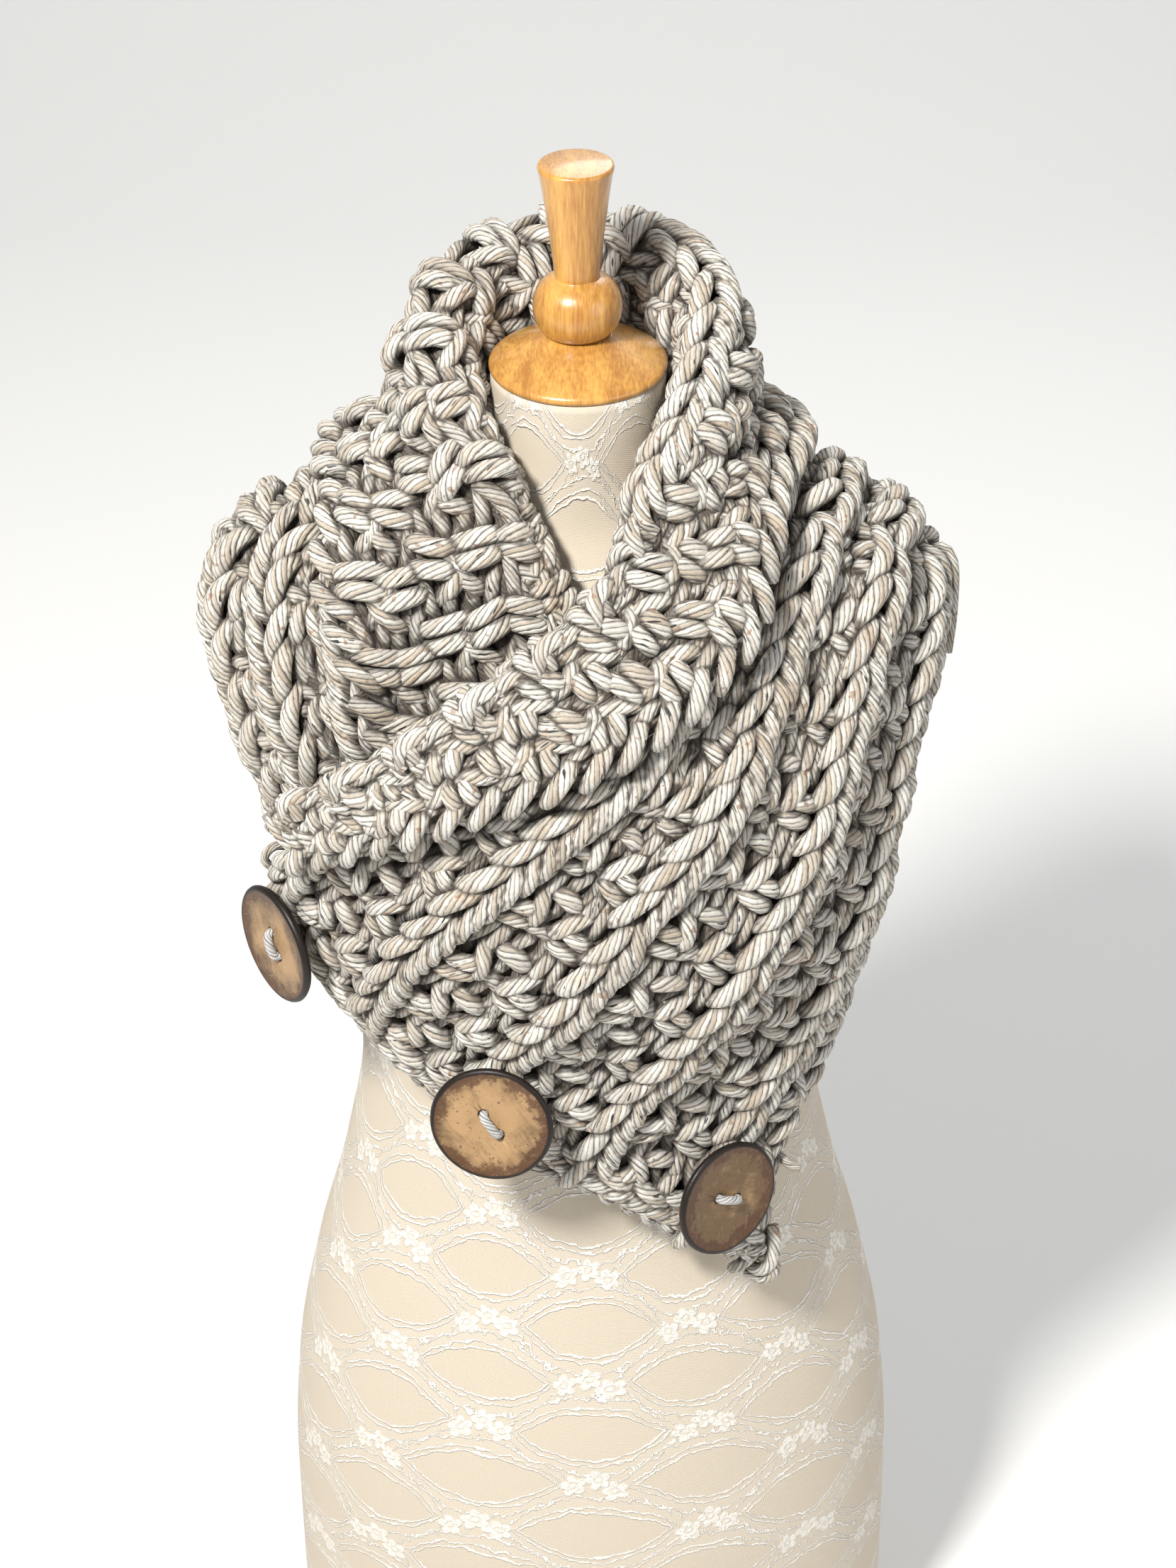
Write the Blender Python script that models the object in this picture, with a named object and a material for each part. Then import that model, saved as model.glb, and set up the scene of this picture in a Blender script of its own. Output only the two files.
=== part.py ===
"""Knitted wrap on dress form: a chunky knitted strip wound round a limbless dress form.

Metres, +Z up, the viewer's right is +X and the front faces -Y. The origin is the centre of the
form's flat base. Girth tables give the form, and station tables give each stretch of the strip
on it, so every wall is worked out from those sizes.
"""

import math

import bmesh
import bpy
from mathutils import Matrix, Vector
from mathutils.bvhtree import BVHTree

WALL = 0.012
RIB_HEIGHT = 0.0045
RIB_WIDTH = 0.030
RIB_STEP = 0.094
STRIP_WIDTH = 0.430

# Girths of the form, bottom to top: height, half width, half depth, centre's y, squareness.
GIRTHS = [
    dict(name="base", z=0.000, half_width=0.1730, half_depth=0.1220, y=0.000),
    dict(name="hem", z=0.060, half_width=0.1750, half_depth=0.1240, y=0.000),
    dict(name="hip", z=0.150, half_width=0.1745, half_depth=0.1245, y=0.000),
    dict(name="high_hip", z=0.230, half_width=0.1690, half_depth=0.1190, y=0.000),
    dict(name="belly", z=0.310, half_width=0.1540, half_depth=0.1080, y=0.000),
    dict(name="low_waist", z=0.386, half_width=0.1340, half_depth=0.0950, y=0.000),
    dict(name="waist", z=0.460, half_width=0.1220, half_depth=0.0880, y=0.000),
    dict(name="ribs", z=0.530, half_width=0.1260, half_depth=0.0950, y=-0.004),
    dict(name="bust", z=0.610, half_width=0.1380, half_depth=0.1120, y=-0.010),
    dict(name="chest", z=0.680, half_width=0.1480, half_depth=0.1060, y=-0.008),
    dict(name="armpit", z=0.725, half_width=0.1520, half_depth=0.0930, y=-0.002),
    dict(name="shoulder", z=0.752, half_width=0.1440, half_depth=0.0790, y=0.003),
    dict(name="slope", z=0.773, half_width=0.1150, half_depth=0.0660, y=0.006),
    dict(name="slope_top", z=0.790, half_width=0.0780, half_depth=0.0560, y=0.006),
    dict(name="neck_base", z=0.808, half_width=0.0500, half_depth=0.0480, y=0.003),
    dict(name="neck", z=0.832, half_width=0.0430, half_depth=0.0430, y=0.000),
    dict(name="neck_top", z=0.8625, half_width=0.0425, half_depth=0.0425, y=0.000),
]

# Stations of the over end, from its short edge to the top of the viewer's right shoulder.
# turn is the angle round the form in degrees (0 front, 90 viewer's right), z the form's height
# there, lift the gap from the form to the cloth's inside, ribs how much of a rib's height
# stands up. in, mid and out cross the strip.
RIGHT_FRONT = [
    dict(turn_in=-77, z_in=0.580, turn_mid=-21, z_mid=0.476, turn_out=36, z_out=0.370,
         lift_in=0.0215, lift_out=0.0215, ribs=1),
    dict(turn_in=-60, z_in=0.640, turn_mid=-12, z_mid=0.536, turn_out=42, z_out=0.418,
         lift_in=0.0215, lift_out=0.0210, ribs=1),
    dict(turn_in=-42, z_in=0.676, turn_mid=3, z_mid=0.590, turn_out=49, z_out=0.455,
         lift_in=0.0215, lift_out=0.0210, ribs=1),
    dict(turn_in=-24, z_in=0.695, turn_mid=15, z_mid=0.635, turn_out=63, z_out=0.500,
         lift_in=0.0215, lift_out=0.0190, ribs=1),
    dict(turn_in=-4, z_in=0.715, turn_mid=26, z_mid=0.675, turn_out=77, z_out=0.570,
         lift_in=0.0215, lift_out=0.0170, ribs=1),
    dict(turn_in=12, z_in=0.748, turn_mid=34, z_mid=0.715, turn_out=85, z_out=0.635,
         lift_in=0.0180, lift_out=0.0140, ribs=1),
    dict(turn_in=28, z_in=0.776, turn_mid=44, z_mid=0.748, turn_out=90, z_out=0.690,
         lift_in=0.0100, lift_out=0.0150, ribs=1),
    dict(turn_in=52, z_in=0.792, turn_mid=68, z_mid=0.770, turn_out=95, z_out=0.732,
         lift_in=0.0080, lift_out=0.0220, ribs=1),
]
# The under end, from its hidden lower edge up to the top of the viewer's left shoulder.
LEFT_FRONT = [
    dict(turn_in=-32, z_in=0.590, turn_mid=-50, z_mid=0.578, turn_out=-74, z_out=0.560,
         lift_in=0.0030, lift_out=0.0050, ribs=0),
    dict(turn_in=-34, z_in=0.650, turn_mid=-58, z_mid=0.640, turn_out=-84, z_out=0.625,
         lift_in=0.0030, lift_out=0.0080, ribs=0.2),
    dict(turn_in=-38, z_in=0.710, turn_mid=-62, z_mid=0.700, turn_out=-89, z_out=0.680,
         lift_in=0.0040, lift_out=0.0190, ribs=1),
    dict(turn_in=-44, z_in=0.752, turn_mid=-68, z_mid=0.738, turn_out=-92, z_out=0.718,
         lift_in=0.0080, lift_out=0.0260, ribs=1),
    dict(turn_in=-58, z_in=0.785, turn_mid=-78, z_mid=0.765, turn_out=-97, z_out=0.742,
         lift_in=0.0100, lift_out=0.0290, ribs=1),
]
# Across both shoulders and the upper back, from the viewer's right to the viewer's left.
BACK = [
    dict(turn_in=53, z_in=0.792, turn_mid=69, z_mid=0.770, turn_out=96, z_out=0.733,
         lift_in=0.0080, lift_out=0.0220, ribs=1),
    dict(turn_in=90, z_in=0.796, turn_mid=98, z_mid=0.768, turn_out=108, z_out=0.715,
         lift_in=0.0080, lift_out=0.0230, ribs=1),
    dict(turn_in=135, z_in=0.798, turn_mid=136, z_mid=0.742, turn_out=138, z_out=0.640,
         lift_in=0.0080, lift_out=0.0140, ribs=1),
    dict(turn_in=180, z_in=0.798, turn_mid=180, z_mid=0.735, turn_out=180, z_out=0.605,
         lift_in=0.0080, lift_out=0.0100, ribs=1),
    dict(turn_in=225, z_in=0.798, turn_mid=224, z_mid=0.742, turn_out=222, z_out=0.640,
         lift_in=0.0080, lift_out=0.0140, ribs=1),
    dict(turn_in=270, z_in=0.794, turn_mid=262, z_mid=0.768, turn_out=252, z_out=0.722,
         lift_in=0.0080, lift_out=0.0260, ribs=1),
    dict(turn_in=301, z_in=0.785, turn_mid=281, z_mid=0.765, turn_out=262, z_out=0.743,
         lift_in=0.0100, lift_out=0.0290, ribs=1),
]
# Stations of the turned collar, from the crossing at the front, up the viewer's right arm, round
# the neck and down the left arm. foot is the inner wall's lower edge, fold the turned top and
# free the outer wall's free edge; lift is the gap from the form to the middle of the wall.
COLLAR = [
    dict(name="tip", turn_foot=-52, z_foot=0.664, lift_foot=0.0455, turn_fold=-52, z_fold=0.674,
         lift_fold=0.048, turn_free=-51, z_free=0.656, lift_free=0.046),
    dict(name="right_tail", turn_foot=-24, z_foot=0.705, lift_foot=0.0455, turn_fold=-23,
         z_fold=0.716, lift_fold=0.052, turn_free=-21, z_free=0.690, lift_free=0.046),
    dict(name="right_low", turn_foot=-4, z_foot=0.738, lift_foot=0.040, turn_fold=-2,
         z_fold=0.754, lift_fold=0.054, turn_free=3, z_free=0.712, lift_free=0.046),
    dict(name="right_chest", turn_foot=12, z_foot=0.768, lift_foot=0.024, turn_fold=12,
         z_fold=0.788, lift_fold=0.048, turn_free=22, z_free=0.742, lift_free=0.046),
    dict(name="right_base", turn_foot=34, z_foot=0.802, lift_foot=0.009, turn_fold=36,
         z_fold=0.834, lift_fold=0.032, turn_free=40, z_free=0.778, lift_free=0.044),
    dict(name="right_neck", turn_foot=72, z_foot=0.814, lift_foot=0.008, turn_fold=76,
         z_fold=0.868, lift_fold=0.022, turn_free=70, z_free=0.792, lift_free=0.037),
    dict(name="right_back", turn_foot=125, z_foot=0.814, lift_foot=0.010, turn_fold=125,
         z_fold=0.892, lift_fold=0.034, turn_free=120, z_free=0.784, lift_free=0.038),
    dict(name="nape", turn_foot=180, z_foot=0.816, lift_foot=0.012, turn_fold=180,
         z_fold=0.898, lift_fold=0.038, turn_free=180, z_free=0.776, lift_free=0.038),
    dict(name="left_back", turn_foot=235, z_foot=0.814, lift_foot=0.010, turn_fold=235,
         z_fold=0.892, lift_fold=0.034, turn_free=235, z_free=0.782, lift_free=0.040),
    dict(name="left_neck", turn_foot=288, z_foot=0.814, lift_foot=0.008, turn_fold=284,
         z_fold=0.866, lift_fold=0.028, turn_free=286, z_free=0.784, lift_free=0.044),
    dict(name="left_base", turn_foot=322, z_foot=0.806, lift_foot=0.009, turn_fold=322,
         z_fold=0.826, lift_fold=0.030, turn_free=309, z_free=0.764, lift_free=0.038),
    dict(name="left_chest", turn_foot=348, z_foot=0.792, lift_foot=0.016, turn_fold=344,
         z_fold=0.782, lift_fold=0.024, turn_free=321, z_free=0.738, lift_free=0.030),
    dict(name="left_low", turn_foot=360, z_foot=0.752, lift_foot=0.010, turn_fold=352,
         z_fold=0.744, lift_fold=0.012, turn_free=326, z_free=0.702, lift_free=0.012),
    dict(name="left_tip", turn_foot=366, z_foot=0.710, lift_foot=0.009, turn_fold=356,
         z_fold=0.700, lift_fold=0.010, turn_free=330, z_free=0.660, lift_free=0.009),
]
COLLAR_RIBS = [0.60, 0.92]
COLLAR_RIB = 0.0025
RIB_OFFSETS = [0.014, 0.104, 0.196, 0.288, 0.378]

# Buttons: the form's turn and height behind the middle, the gap from the form to the button's
# middle, where its face points (yaw from the front to the viewer's right, pitch up) and the
# tilt of its two holes in its own plane, in degrees.
BUTTONS = [
    dict(name="1", turn=-62, z=0.590, lift=0.0458, yaw=-55, pitch=0, tilt=-62),
    dict(name="2", turn=-17, z=0.521, lift=0.0530, yaw=-10, pitch=10, tilt=-52),
    dict(name="3", turn=27, z=0.438, lift=0.0478, yaw=38, pitch=8, tilt=-25),
]
BUTTON_WIDTH = 0.0635
BUTTON_THICK = 0.0045
DISH = 0.0015
HOLE_WIDTH = 0.0060
HOLE_STEP = 0.0135
TIE_WIDTH = 0.0046
SEAM = 0.0004

# Wood, as radius and height down the form's axis.
CAP_PROFILE = [(0.000, 0.8629), (0.0420, 0.8629), (0.0432, 0.8642), (0.0432, 0.8662),
               (0.0405, 0.8695), (0.0167, 0.8812), (0.000, 0.8812)]
FINIAL_PROFILE = [(0.000, 0.8815), (0.0150, 0.8815), (0.0195, 0.8865), (0.0215, 0.8955),
                  (0.0200, 0.9035), (0.0155, 0.9085), (0.0108, 0.9105), (0.0112, 0.9145),
                  (0.0140, 0.9400), (0.0172, 0.9620), (0.0181, 0.9650), (0.0178, 0.9672),
                  (0.0168, 0.9680), (0.000, 0.9680)]


def cubic(places, values, x):
    """A smooth curve through the table's values that never overshoots them."""
    last = len(places) - 1
    i = 0
    while i < last - 1 and x > places[i + 1]:
        i += 1

    def slope(k):
        before = (values[k] - values[k - 1]) / (places[k] - places[k - 1]) if k else None
        after = (values[k + 1] - values[k]) / (places[k + 1] - places[k]) if k < last else None
        if before is None or after is None:
            return before if after is None else after
        return 0.0 if before * after <= 0 else 2 * before * after / (before + after)

    width = places[i + 1] - places[i]
    t = (x - places[i]) / width
    return ((2 * t**3 - 3 * t**2 + 1) * values[i] + (t**3 - 2 * t**2 + t) * width * slope(i)
            + (3 * t**2 - 2 * t**3) * values[i + 1] + (t**3 - t**2) * width * slope(i + 1))


HEIGHTS = [row["z"] for row in GIRTHS]
TOP = HEIGHTS[-1]


def girth(key, z):
    """One of the form's sizes at a height; above the neck's top it stays as it is there."""
    return cubic(HEIGHTS, [row[key] for row in GIRTHS], min(z, TOP))


def form_point(turn, z):
    """The form's surface at a turn in degrees and a height."""
    angle = math.radians(turn)
    x = girth("half_width", z) * math.sin(angle)
    y = girth("y", z) - girth("half_depth", z) * math.cos(angle)
    return Vector((x, y, z))


def outward(turn, z, reach):
    """The direction out of the form, evened out so that cloth above a hollow doesn't cross."""
    round_it = form_point(turn + 2, z) - form_point(turn - 2, z)
    up_it = form_point(turn, z + reach) - form_point(turn, z - reach)
    return round_it.cross(up_it).normalized()


def cloth_point(turn, z, lift, reach=0.024):
    """A point of the cloth, lifted off the form."""
    return form_point(turn, z) + lift * outward(turn, z, reach)


def along_table(rows, key, u):
    """A station table's value at u, from 0 at its first row to 1 at its last."""
    places = [i / (len(rows) - 1) for i in range(len(rows))]
    return cubic(places, [row[key] for row in rows], u)


def across(u, v, rows, key):
    """A station's turn or height at v across the strip, through its in, mid and out."""
    values = [along_table(rows, key + end, u) for end in ("_in", "_mid", "_out")]
    weights = ((1 - v) * (1 - 2 * v), 4 * v * (1 - v), v * (2 * v - 1))
    return sum(weight * value for weight, value in zip(weights, values))


def rib(offset):
    """How far a rib stands off the wall at a distance across the strip."""
    for centre in RIB_OFFSETS:
        if abs(offset - centre) < RIB_WIDTH / 2:
            return RIB_HEIGHT * (1 + math.cos(2 * math.pi * (offset - centre) / RIB_WIDTH)) / 2
    return 0.0


def columns(first):
    """The places across the strip, in 0 to 1: each rib's foot, flank and top, and each valley."""
    places = {first, STRIP_WIDTH}
    for centre in RIB_OFFSETS:
        for part in (-0.5, -0.25, 0.0, 0.25, 0.5):
            places.add(centre + part * RIB_WIDTH)
        places.add(centre + RIB_STEP / 2)
    wide = STRIP_WIDTH - first
    return [(place - first) / wide for place in sorted(places) if first <= place <= STRIP_WIDTH]


def material(name, color, roughness=0.9):
    made = bpy.data.materials.new(name)
    made.use_nodes = True
    shader = made.node_tree.nodes["Principled BSDF"]
    shader.inputs["Base Color"].default_value = (*color, 1)
    shader.inputs["Roughness"].default_value = roughness
    return made


def add_object(name, points, faces, color, roughness=0.9):
    """An object from points and faces, its faces turned outwards."""
    mesh = bpy.data.meshes.new(name)
    mesh.from_pydata([tuple(point) for point in points], [], faces)
    shape = bmesh.new()
    shape.from_mesh(mesh)
    bmesh.ops.recalc_face_normals(shape, faces=shape.faces)
    bmesh.ops.triangulate(shape, faces=shape.faces)
    if shape.calc_volume(signed=True) < 0:
        bmesh.ops.reverse_faces(shape, faces=shape.faces)
    shape.to_mesh(mesh)
    shape.free()
    mesh.materials.append(material(name, color, roughness))
    made = bpy.data.objects.new(name, mesh)
    bpy.context.scene.collection.objects.link(made)
    return made


def wall(name, face, us, vs, color):
    """A closed wall of cloth. face(u, v, side) gives its inside (0) and its outside (1)."""
    points = [face(u, v, side) for side in (0, 1) for u in us for v in vs]
    wide = len(vs)
    size = len(us) * wide

    def at(side, i, j):
        return side * size + i * wide + j

    faces = []
    for i in range(len(us) - 1):
        for j in range(wide - 1):
            for side in (0, 1):
                faces.append((at(side, i, j), at(side, i + 1, j), at(side, i + 1, j + 1),
                              at(side, i, j + 1)))
    for i in range(len(us) - 1):
        for j in (0, wide - 1):
            faces.append((at(0, i, j), at(0, i + 1, j), at(1, i + 1, j), at(1, i, j)))
    for j in range(wide - 1):
        for i in (0, len(us) - 1):
            faces.append((at(0, i, j), at(0, i, j + 1), at(1, i, j + 1), at(1, i, j)))
    return add_object(name, points, faces, color)


def stretch(name, rows, steps, color, first=0.0):
    """One stretch of the strip, laid on the form by its table; first is where its inner edge is."""
    def face(u, v, side):
        turn = across(u, v, rows, "turn")
        z = across(u, v, rows, "z")
        lift = (1 - v) * along_table(rows, "lift_in", u) + v * along_table(rows, "lift_out", u)
        if side:
            lift += WALL + rib(first + v * (STRIP_WIDTH - first)) * along_table(rows, "ribs", u)
        return cloth_point(turn, z, lift)

    return wall(name, face, [i / steps for i in range(steps + 1)], columns(first), color)


def collar_middle(u, w):
    """The middle of the collar's wall: w runs from the foot (0) over the fold to the free edge."""
    angle = math.pi * w
    end = "foot" if w < 0.5 else "free"
    rise = math.sin(angle) ** 0.8
    reach = 1 - abs(math.cos(angle)) ** 0.8
    sizes = {}
    for key in ("turn", "z", "lift"):
        low = along_table(COLLAR, key + "_" + end, u)
        high = along_table(COLLAR, key + "_fold", u)
        sizes[key] = low + (high - low) * (rise if key == "z" else reach)
    return cloth_point(sizes["turn"], sizes["z"], sizes["lift"], 0.05)


def collar(steps, turns, color):
    def face(u, w, side):
        here = collar_middle(u, w)
        step = 0.01
        over = collar_middle(u, min(w + step, 1)) - collar_middle(u, max(w - step, 0))
        along = collar_middle(min(u + step, 1), w) - collar_middle(max(u - step, 0), w)
        out = along.cross(over).normalized()
        high = sum(COLLAR_RIB * math.exp(-((w - place) / 0.07) ** 2) for place in COLLAR_RIBS)
        return here + out * (WALL / 2 + high if side else -WALL / 2)

    us = [i / steps for i in range(steps + 1)]
    ws = [i / turns for i in range(turns + 1)]
    return wall("wrap_collar", face, us, ws, color)


def turned(name, profile, steps, color, roughness):
    """A closed body of revolution about the form's axis."""
    points = []
    for radius, z in profile:
        if radius == 0:
            points.append((0, 0, z))
        else:
            for i in range(steps):
                angle = 2 * math.pi * i / steps
                points.append((radius * math.sin(angle), -radius * math.cos(angle), z))
    faces = []
    start = 0
    for (low, _), (high, _) in zip(profile, profile[1:]):
        after = start + (1 if low == 0 else steps)
        for i in range(steps):
            k = (i + 1) % steps
            if low == 0:
                faces.append((start, after + i, after + k))
            elif high == 0:
                faces.append((start + i, start + k, after))
            else:
                faces.append((start + i, start + k, after + k, after + i))
        start = after
    return add_object(name, points, faces, color, roughness)


def placement(row):
    """Where a button's piece, made facing +Z at the origin, goes on the cloth."""
    yaw = math.radians(row["yaw"])
    pitch = math.radians(row["pitch"])
    out = Vector((math.sin(yaw) * math.cos(pitch), -math.cos(yaw) * math.cos(pitch),
                  math.sin(pitch)))
    side = Vector((0, 0, 1)).cross(out).normalized()
    up = out.cross(side)
    tilt = math.radians(row["tilt"])
    across_it = side * math.cos(tilt) + up * math.sin(tilt)
    middle = cloth_point(row["turn"], row["z"], row["lift"])
    turn = Matrix((across_it, out.cross(across_it), out)).transposed().to_4x4()
    return Matrix.Translation(middle) @ turn


def button(row, cutters):
    """A dished disc with a rounded rim and two holes."""
    radius = BUTTON_WIDTH / 2
    half = BUTTON_THICK / 2
    profile = [(0.0, -half - DISH), (radius * 0.55, -half - 0.6 * DISH), (radius - 0.0014, -half),
               (radius, 0.0), (radius - 0.0008, half), (radius * 0.55, half - 0.6 * DISH),
               (0.0, half - DISH)]
    disc = turned("button_" + row["name"], profile, 40, (0.42, 0.27, 0.15), 0.45)
    disc.matrix_world = placement(row)
    for side in (-1, 1):
        bpy.ops.mesh.primitive_cylinder_add(vertices=16, radius=HOLE_WIDTH / 2, depth=0.03)
        cutter = bpy.context.object
        cutter.name = "hole_" + row["name"] + ("a" if side < 0 else "b")
        for held in list(cutter.users_collection):
            held.objects.unlink(cutter)
        cutters.objects.link(cutter)
        cutter.hide_render = True
        cutter.display_type = "WIRE"
        offset = Matrix.Translation((side * HOLE_STEP / 2, 0, 0))
        cutter.matrix_world = placement(row) @ offset
        cut = disc.modifiers.new("hole", "BOOLEAN")
        cut.object = cutter
        cut.operation = "DIFFERENCE"
        cut.solver = "EXACT"
    return disc


def tie(row, cloth, color):
    """The yarn through a button's two holes, over its face and back down to the cloth."""
    half = HOLE_STEP / 2
    top = BUTTON_THICK / 2 + TIE_WIDTH * 0.45
    low = -BUTTON_THICK / 2 - DISH - 0.0012
    path = [(-half, low), (-half, 0.0), (-half, top * 0.72), (-half * 0.6, top), (0.0, top + 0.0006),
            (half * 0.6, top), (half, top * 0.72), (half, 0.0), (half, low)]
    sides = 12
    points = []
    for i, (x, z) in enumerate(path):
        before = path[max(i - 1, 0)]
        after = path[min(i + 1, len(path) - 1)]
        slope = math.atan2(after[1] - before[1], after[0] - before[0])
        for k in range(sides):
            angle = 2 * math.pi * k / sides
            reach = TIE_WIDTH / 2 * math.cos(angle)
            points.append((x - math.sin(slope) * reach, TIE_WIDTH / 2 * math.sin(angle),
                           z + math.cos(slope) * reach))
    last = len(points) - sides
    place = placement(row)
    surface = BVHTree.FromPolygons([v.co for v in cloth.data.vertices],
                                   [f.vertices for f in cloth.data.polygons])
    for i in [*range(sides), *range(last, last + sides)]:
        x, y, z = points[i]
        hit = surface.ray_cast(place @ Vector(points[i]), -place.col[2].to_3d(), 0.02)
        if hit[0]:
            points[i] = (x, y, z - hit[3] + SEAM)
    faces = [tuple(range(sides)), tuple(range(last, last + sides))]
    for i in range(len(path) - 1):
        for k in range(sides):
            n = (k + 1) % sides
            faces.append((i * sides + k, i * sides + n, (i + 1) * sides + n, (i + 1) * sides + k))
    made = add_object("button_tie_" + row["name"], points, faces, color)
    made.matrix_world = place
    return made


def form_body(levels, steps):
    points = []
    for z in levels:
        for i in range(steps):
            points.append(form_point(360 * i / steps, z))
    faces = [tuple(range(steps)), tuple(range(len(points) - steps, len(points)))]
    for i in range(len(levels) - 1):
        for j in range(steps):
            k = (j + 1) % steps
            faces.append((i * steps + j, i * steps + k, (i + 1) * steps + k,
                          (i + 1) * steps + j))
    return add_object("form_body", points, faces, (0.86, 0.80, 0.70), 0.8)


def main():
    for old in list(bpy.data.objects):
        bpy.data.objects.remove(old)
    yarn = (0.62, 0.58, 0.52)
    levels = [0.0, 0.03, 0.09, 0.15, 0.19, 0.23, 0.27, 0.31, 0.35, 0.386, 0.42, 0.46, 0.5, 0.54,
              0.575, 0.61, 0.645, 0.68, 0.705, 0.725, 0.74, 0.752, 0.764, 0.775, 0.786, 0.797,
              0.81, 0.832, TOP]
    form_body(levels, 36)
    turned("neck_cap", CAP_PROFILE, 48, (0.70, 0.42, 0.16), 0.3)
    turned("finial", FINIAL_PROFILE, 32, (0.70, 0.42, 0.16), 0.3)
    over = stretch("wrap_right_front", RIGHT_FRONT, 24, yarn)
    stretch("wrap_left_front", LEFT_FRONT, 14, yarn, 0.175)
    stretch("wrap_back", BACK, 26, yarn)
    collar(50, 12, yarn)
    cutters = bpy.data.collections.new("cutters")
    bpy.context.scene.collection.children.link(cutters)
    for row in BUTTONS:
        button(row, cutters)
        tie(row, over, (0.75, 0.74, 0.72))


main()
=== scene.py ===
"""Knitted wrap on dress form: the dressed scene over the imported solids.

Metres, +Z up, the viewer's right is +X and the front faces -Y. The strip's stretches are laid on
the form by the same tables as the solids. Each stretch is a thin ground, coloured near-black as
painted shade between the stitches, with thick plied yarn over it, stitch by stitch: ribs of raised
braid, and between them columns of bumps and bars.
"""

from __future__ import annotations

import logging
import math
from dataclasses import dataclass, field
from enum import Enum
from typing import Any, Callable, Sequence

import bmesh
import bpy
import numpy as np
from bpy.types import Material, Mesh, NodeTree, Object
from mathutils import Matrix, Vector
from mathutils.bvhtree import BVHTree

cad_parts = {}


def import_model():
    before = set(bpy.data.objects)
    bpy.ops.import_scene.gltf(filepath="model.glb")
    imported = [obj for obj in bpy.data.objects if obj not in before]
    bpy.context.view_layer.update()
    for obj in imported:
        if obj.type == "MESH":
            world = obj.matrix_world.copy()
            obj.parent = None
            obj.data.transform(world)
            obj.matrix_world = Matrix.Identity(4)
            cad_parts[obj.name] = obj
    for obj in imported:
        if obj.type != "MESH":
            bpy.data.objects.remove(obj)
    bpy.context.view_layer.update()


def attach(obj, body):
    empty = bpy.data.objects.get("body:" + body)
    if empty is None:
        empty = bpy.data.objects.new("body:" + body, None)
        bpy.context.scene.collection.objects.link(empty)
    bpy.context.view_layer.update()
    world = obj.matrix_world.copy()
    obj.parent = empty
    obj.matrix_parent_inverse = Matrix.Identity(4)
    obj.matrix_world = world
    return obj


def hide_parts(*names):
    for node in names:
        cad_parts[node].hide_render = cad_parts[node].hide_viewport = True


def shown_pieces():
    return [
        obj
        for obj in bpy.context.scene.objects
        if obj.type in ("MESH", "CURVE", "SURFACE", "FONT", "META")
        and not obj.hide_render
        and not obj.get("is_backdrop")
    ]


LOG = logging.getLogger("knitted_wrap")

Row = dict[str, float]


def table(keys: str, *rows: Sequence[float]) -> list[Row]:
    """A table's rows under the names of its columns.

    Args:
        keys: the names, with spaces between them.
        *rows: each row's numbers.

    Returns:
        The rows.
    """
    return [dict(zip(keys.split(), row)) for row in rows]


WALL = 0.012
STRIP_WIDTH = 0.430
RIB_OFFSETS = (0.014, 0.104, 0.196, 0.288, 0.378)
PITCH = 0.0212
YARN_RADIUS = 0.0046
SINK = 0.0030
BUTTON_WIDTH = 0.0635
BUTTON_THICK = 0.0045
DISH = 0.0015
HOLE_WIDTH = 0.0060
HOLE_STEP = 0.0135
TIE_WIDTH = 0.0046
GROUND_BACK = 0.0045
GROUND_FACE = 0.0015
FRONT = np.array((0.0, -1.0, 0.0))

# Girths of the form, y being that of their middle.
GIRTHS = table(
    "z half_width half_depth y",
    (0.000, 0.1730, 0.1220, 0.000),  # base
    (0.060, 0.1750, 0.1240, 0.000),  # hem
    (0.150, 0.1745, 0.1245, 0.000),  # hip
    (0.230, 0.1690, 0.1190, 0.000),  # high hip
    (0.310, 0.1540, 0.1080, 0.000),  # belly
    (0.386, 0.1340, 0.0950, 0.000),  # low waist
    (0.460, 0.1220, 0.0880, 0.000),  # waist
    (0.530, 0.1260, 0.0950, -0.004),  # ribs
    (0.610, 0.1380, 0.1120, -0.010),  # bust
    (0.680, 0.1480, 0.1060, -0.008),  # chest
    (0.725, 0.1520, 0.0930, -0.002),  # armpit
    (0.752, 0.1440, 0.0790, 0.003),  # shoulder
    (0.773, 0.1150, 0.0660, 0.006),  # slope
    (0.790, 0.0780, 0.0560, 0.006),  # slope top
    (0.808, 0.0500, 0.0480, 0.003),  # neck base
    (0.832, 0.0430, 0.0430, 0.000),  # neck
    (0.8625, 0.0425, 0.0425, 0.000),  # neck top
)
# Stations across each stretch of the strip, as in the part's source: the turn round the form in
# degrees and the height of its inner edge, middle and outer edge, and how far each edge is off.
STATION = "turn_in z_in turn_mid z_mid turn_out z_out lift_in lift_out"
RIGHT_FRONT = table(
    STATION,
    (-77, 0.580, -21, 0.476, 36, 0.370, 0.0215, 0.0215),
    (-60, 0.640, -12, 0.536, 42, 0.418, 0.0215, 0.0210),
    (-42, 0.676, 3, 0.590, 49, 0.455, 0.0215, 0.0210),
    (-24, 0.695, 15, 0.635, 63, 0.500, 0.0215, 0.0190),
    (-4, 0.715, 26, 0.675, 77, 0.570, 0.0215, 0.0170),
    (12, 0.748, 34, 0.715, 85, 0.635, 0.0180, 0.0140),
    (28, 0.776, 44, 0.748, 90, 0.690, 0.0100, 0.0150),
    (52, 0.792, 68, 0.770, 95, 0.732, 0.0080, 0.0220),
)
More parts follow.
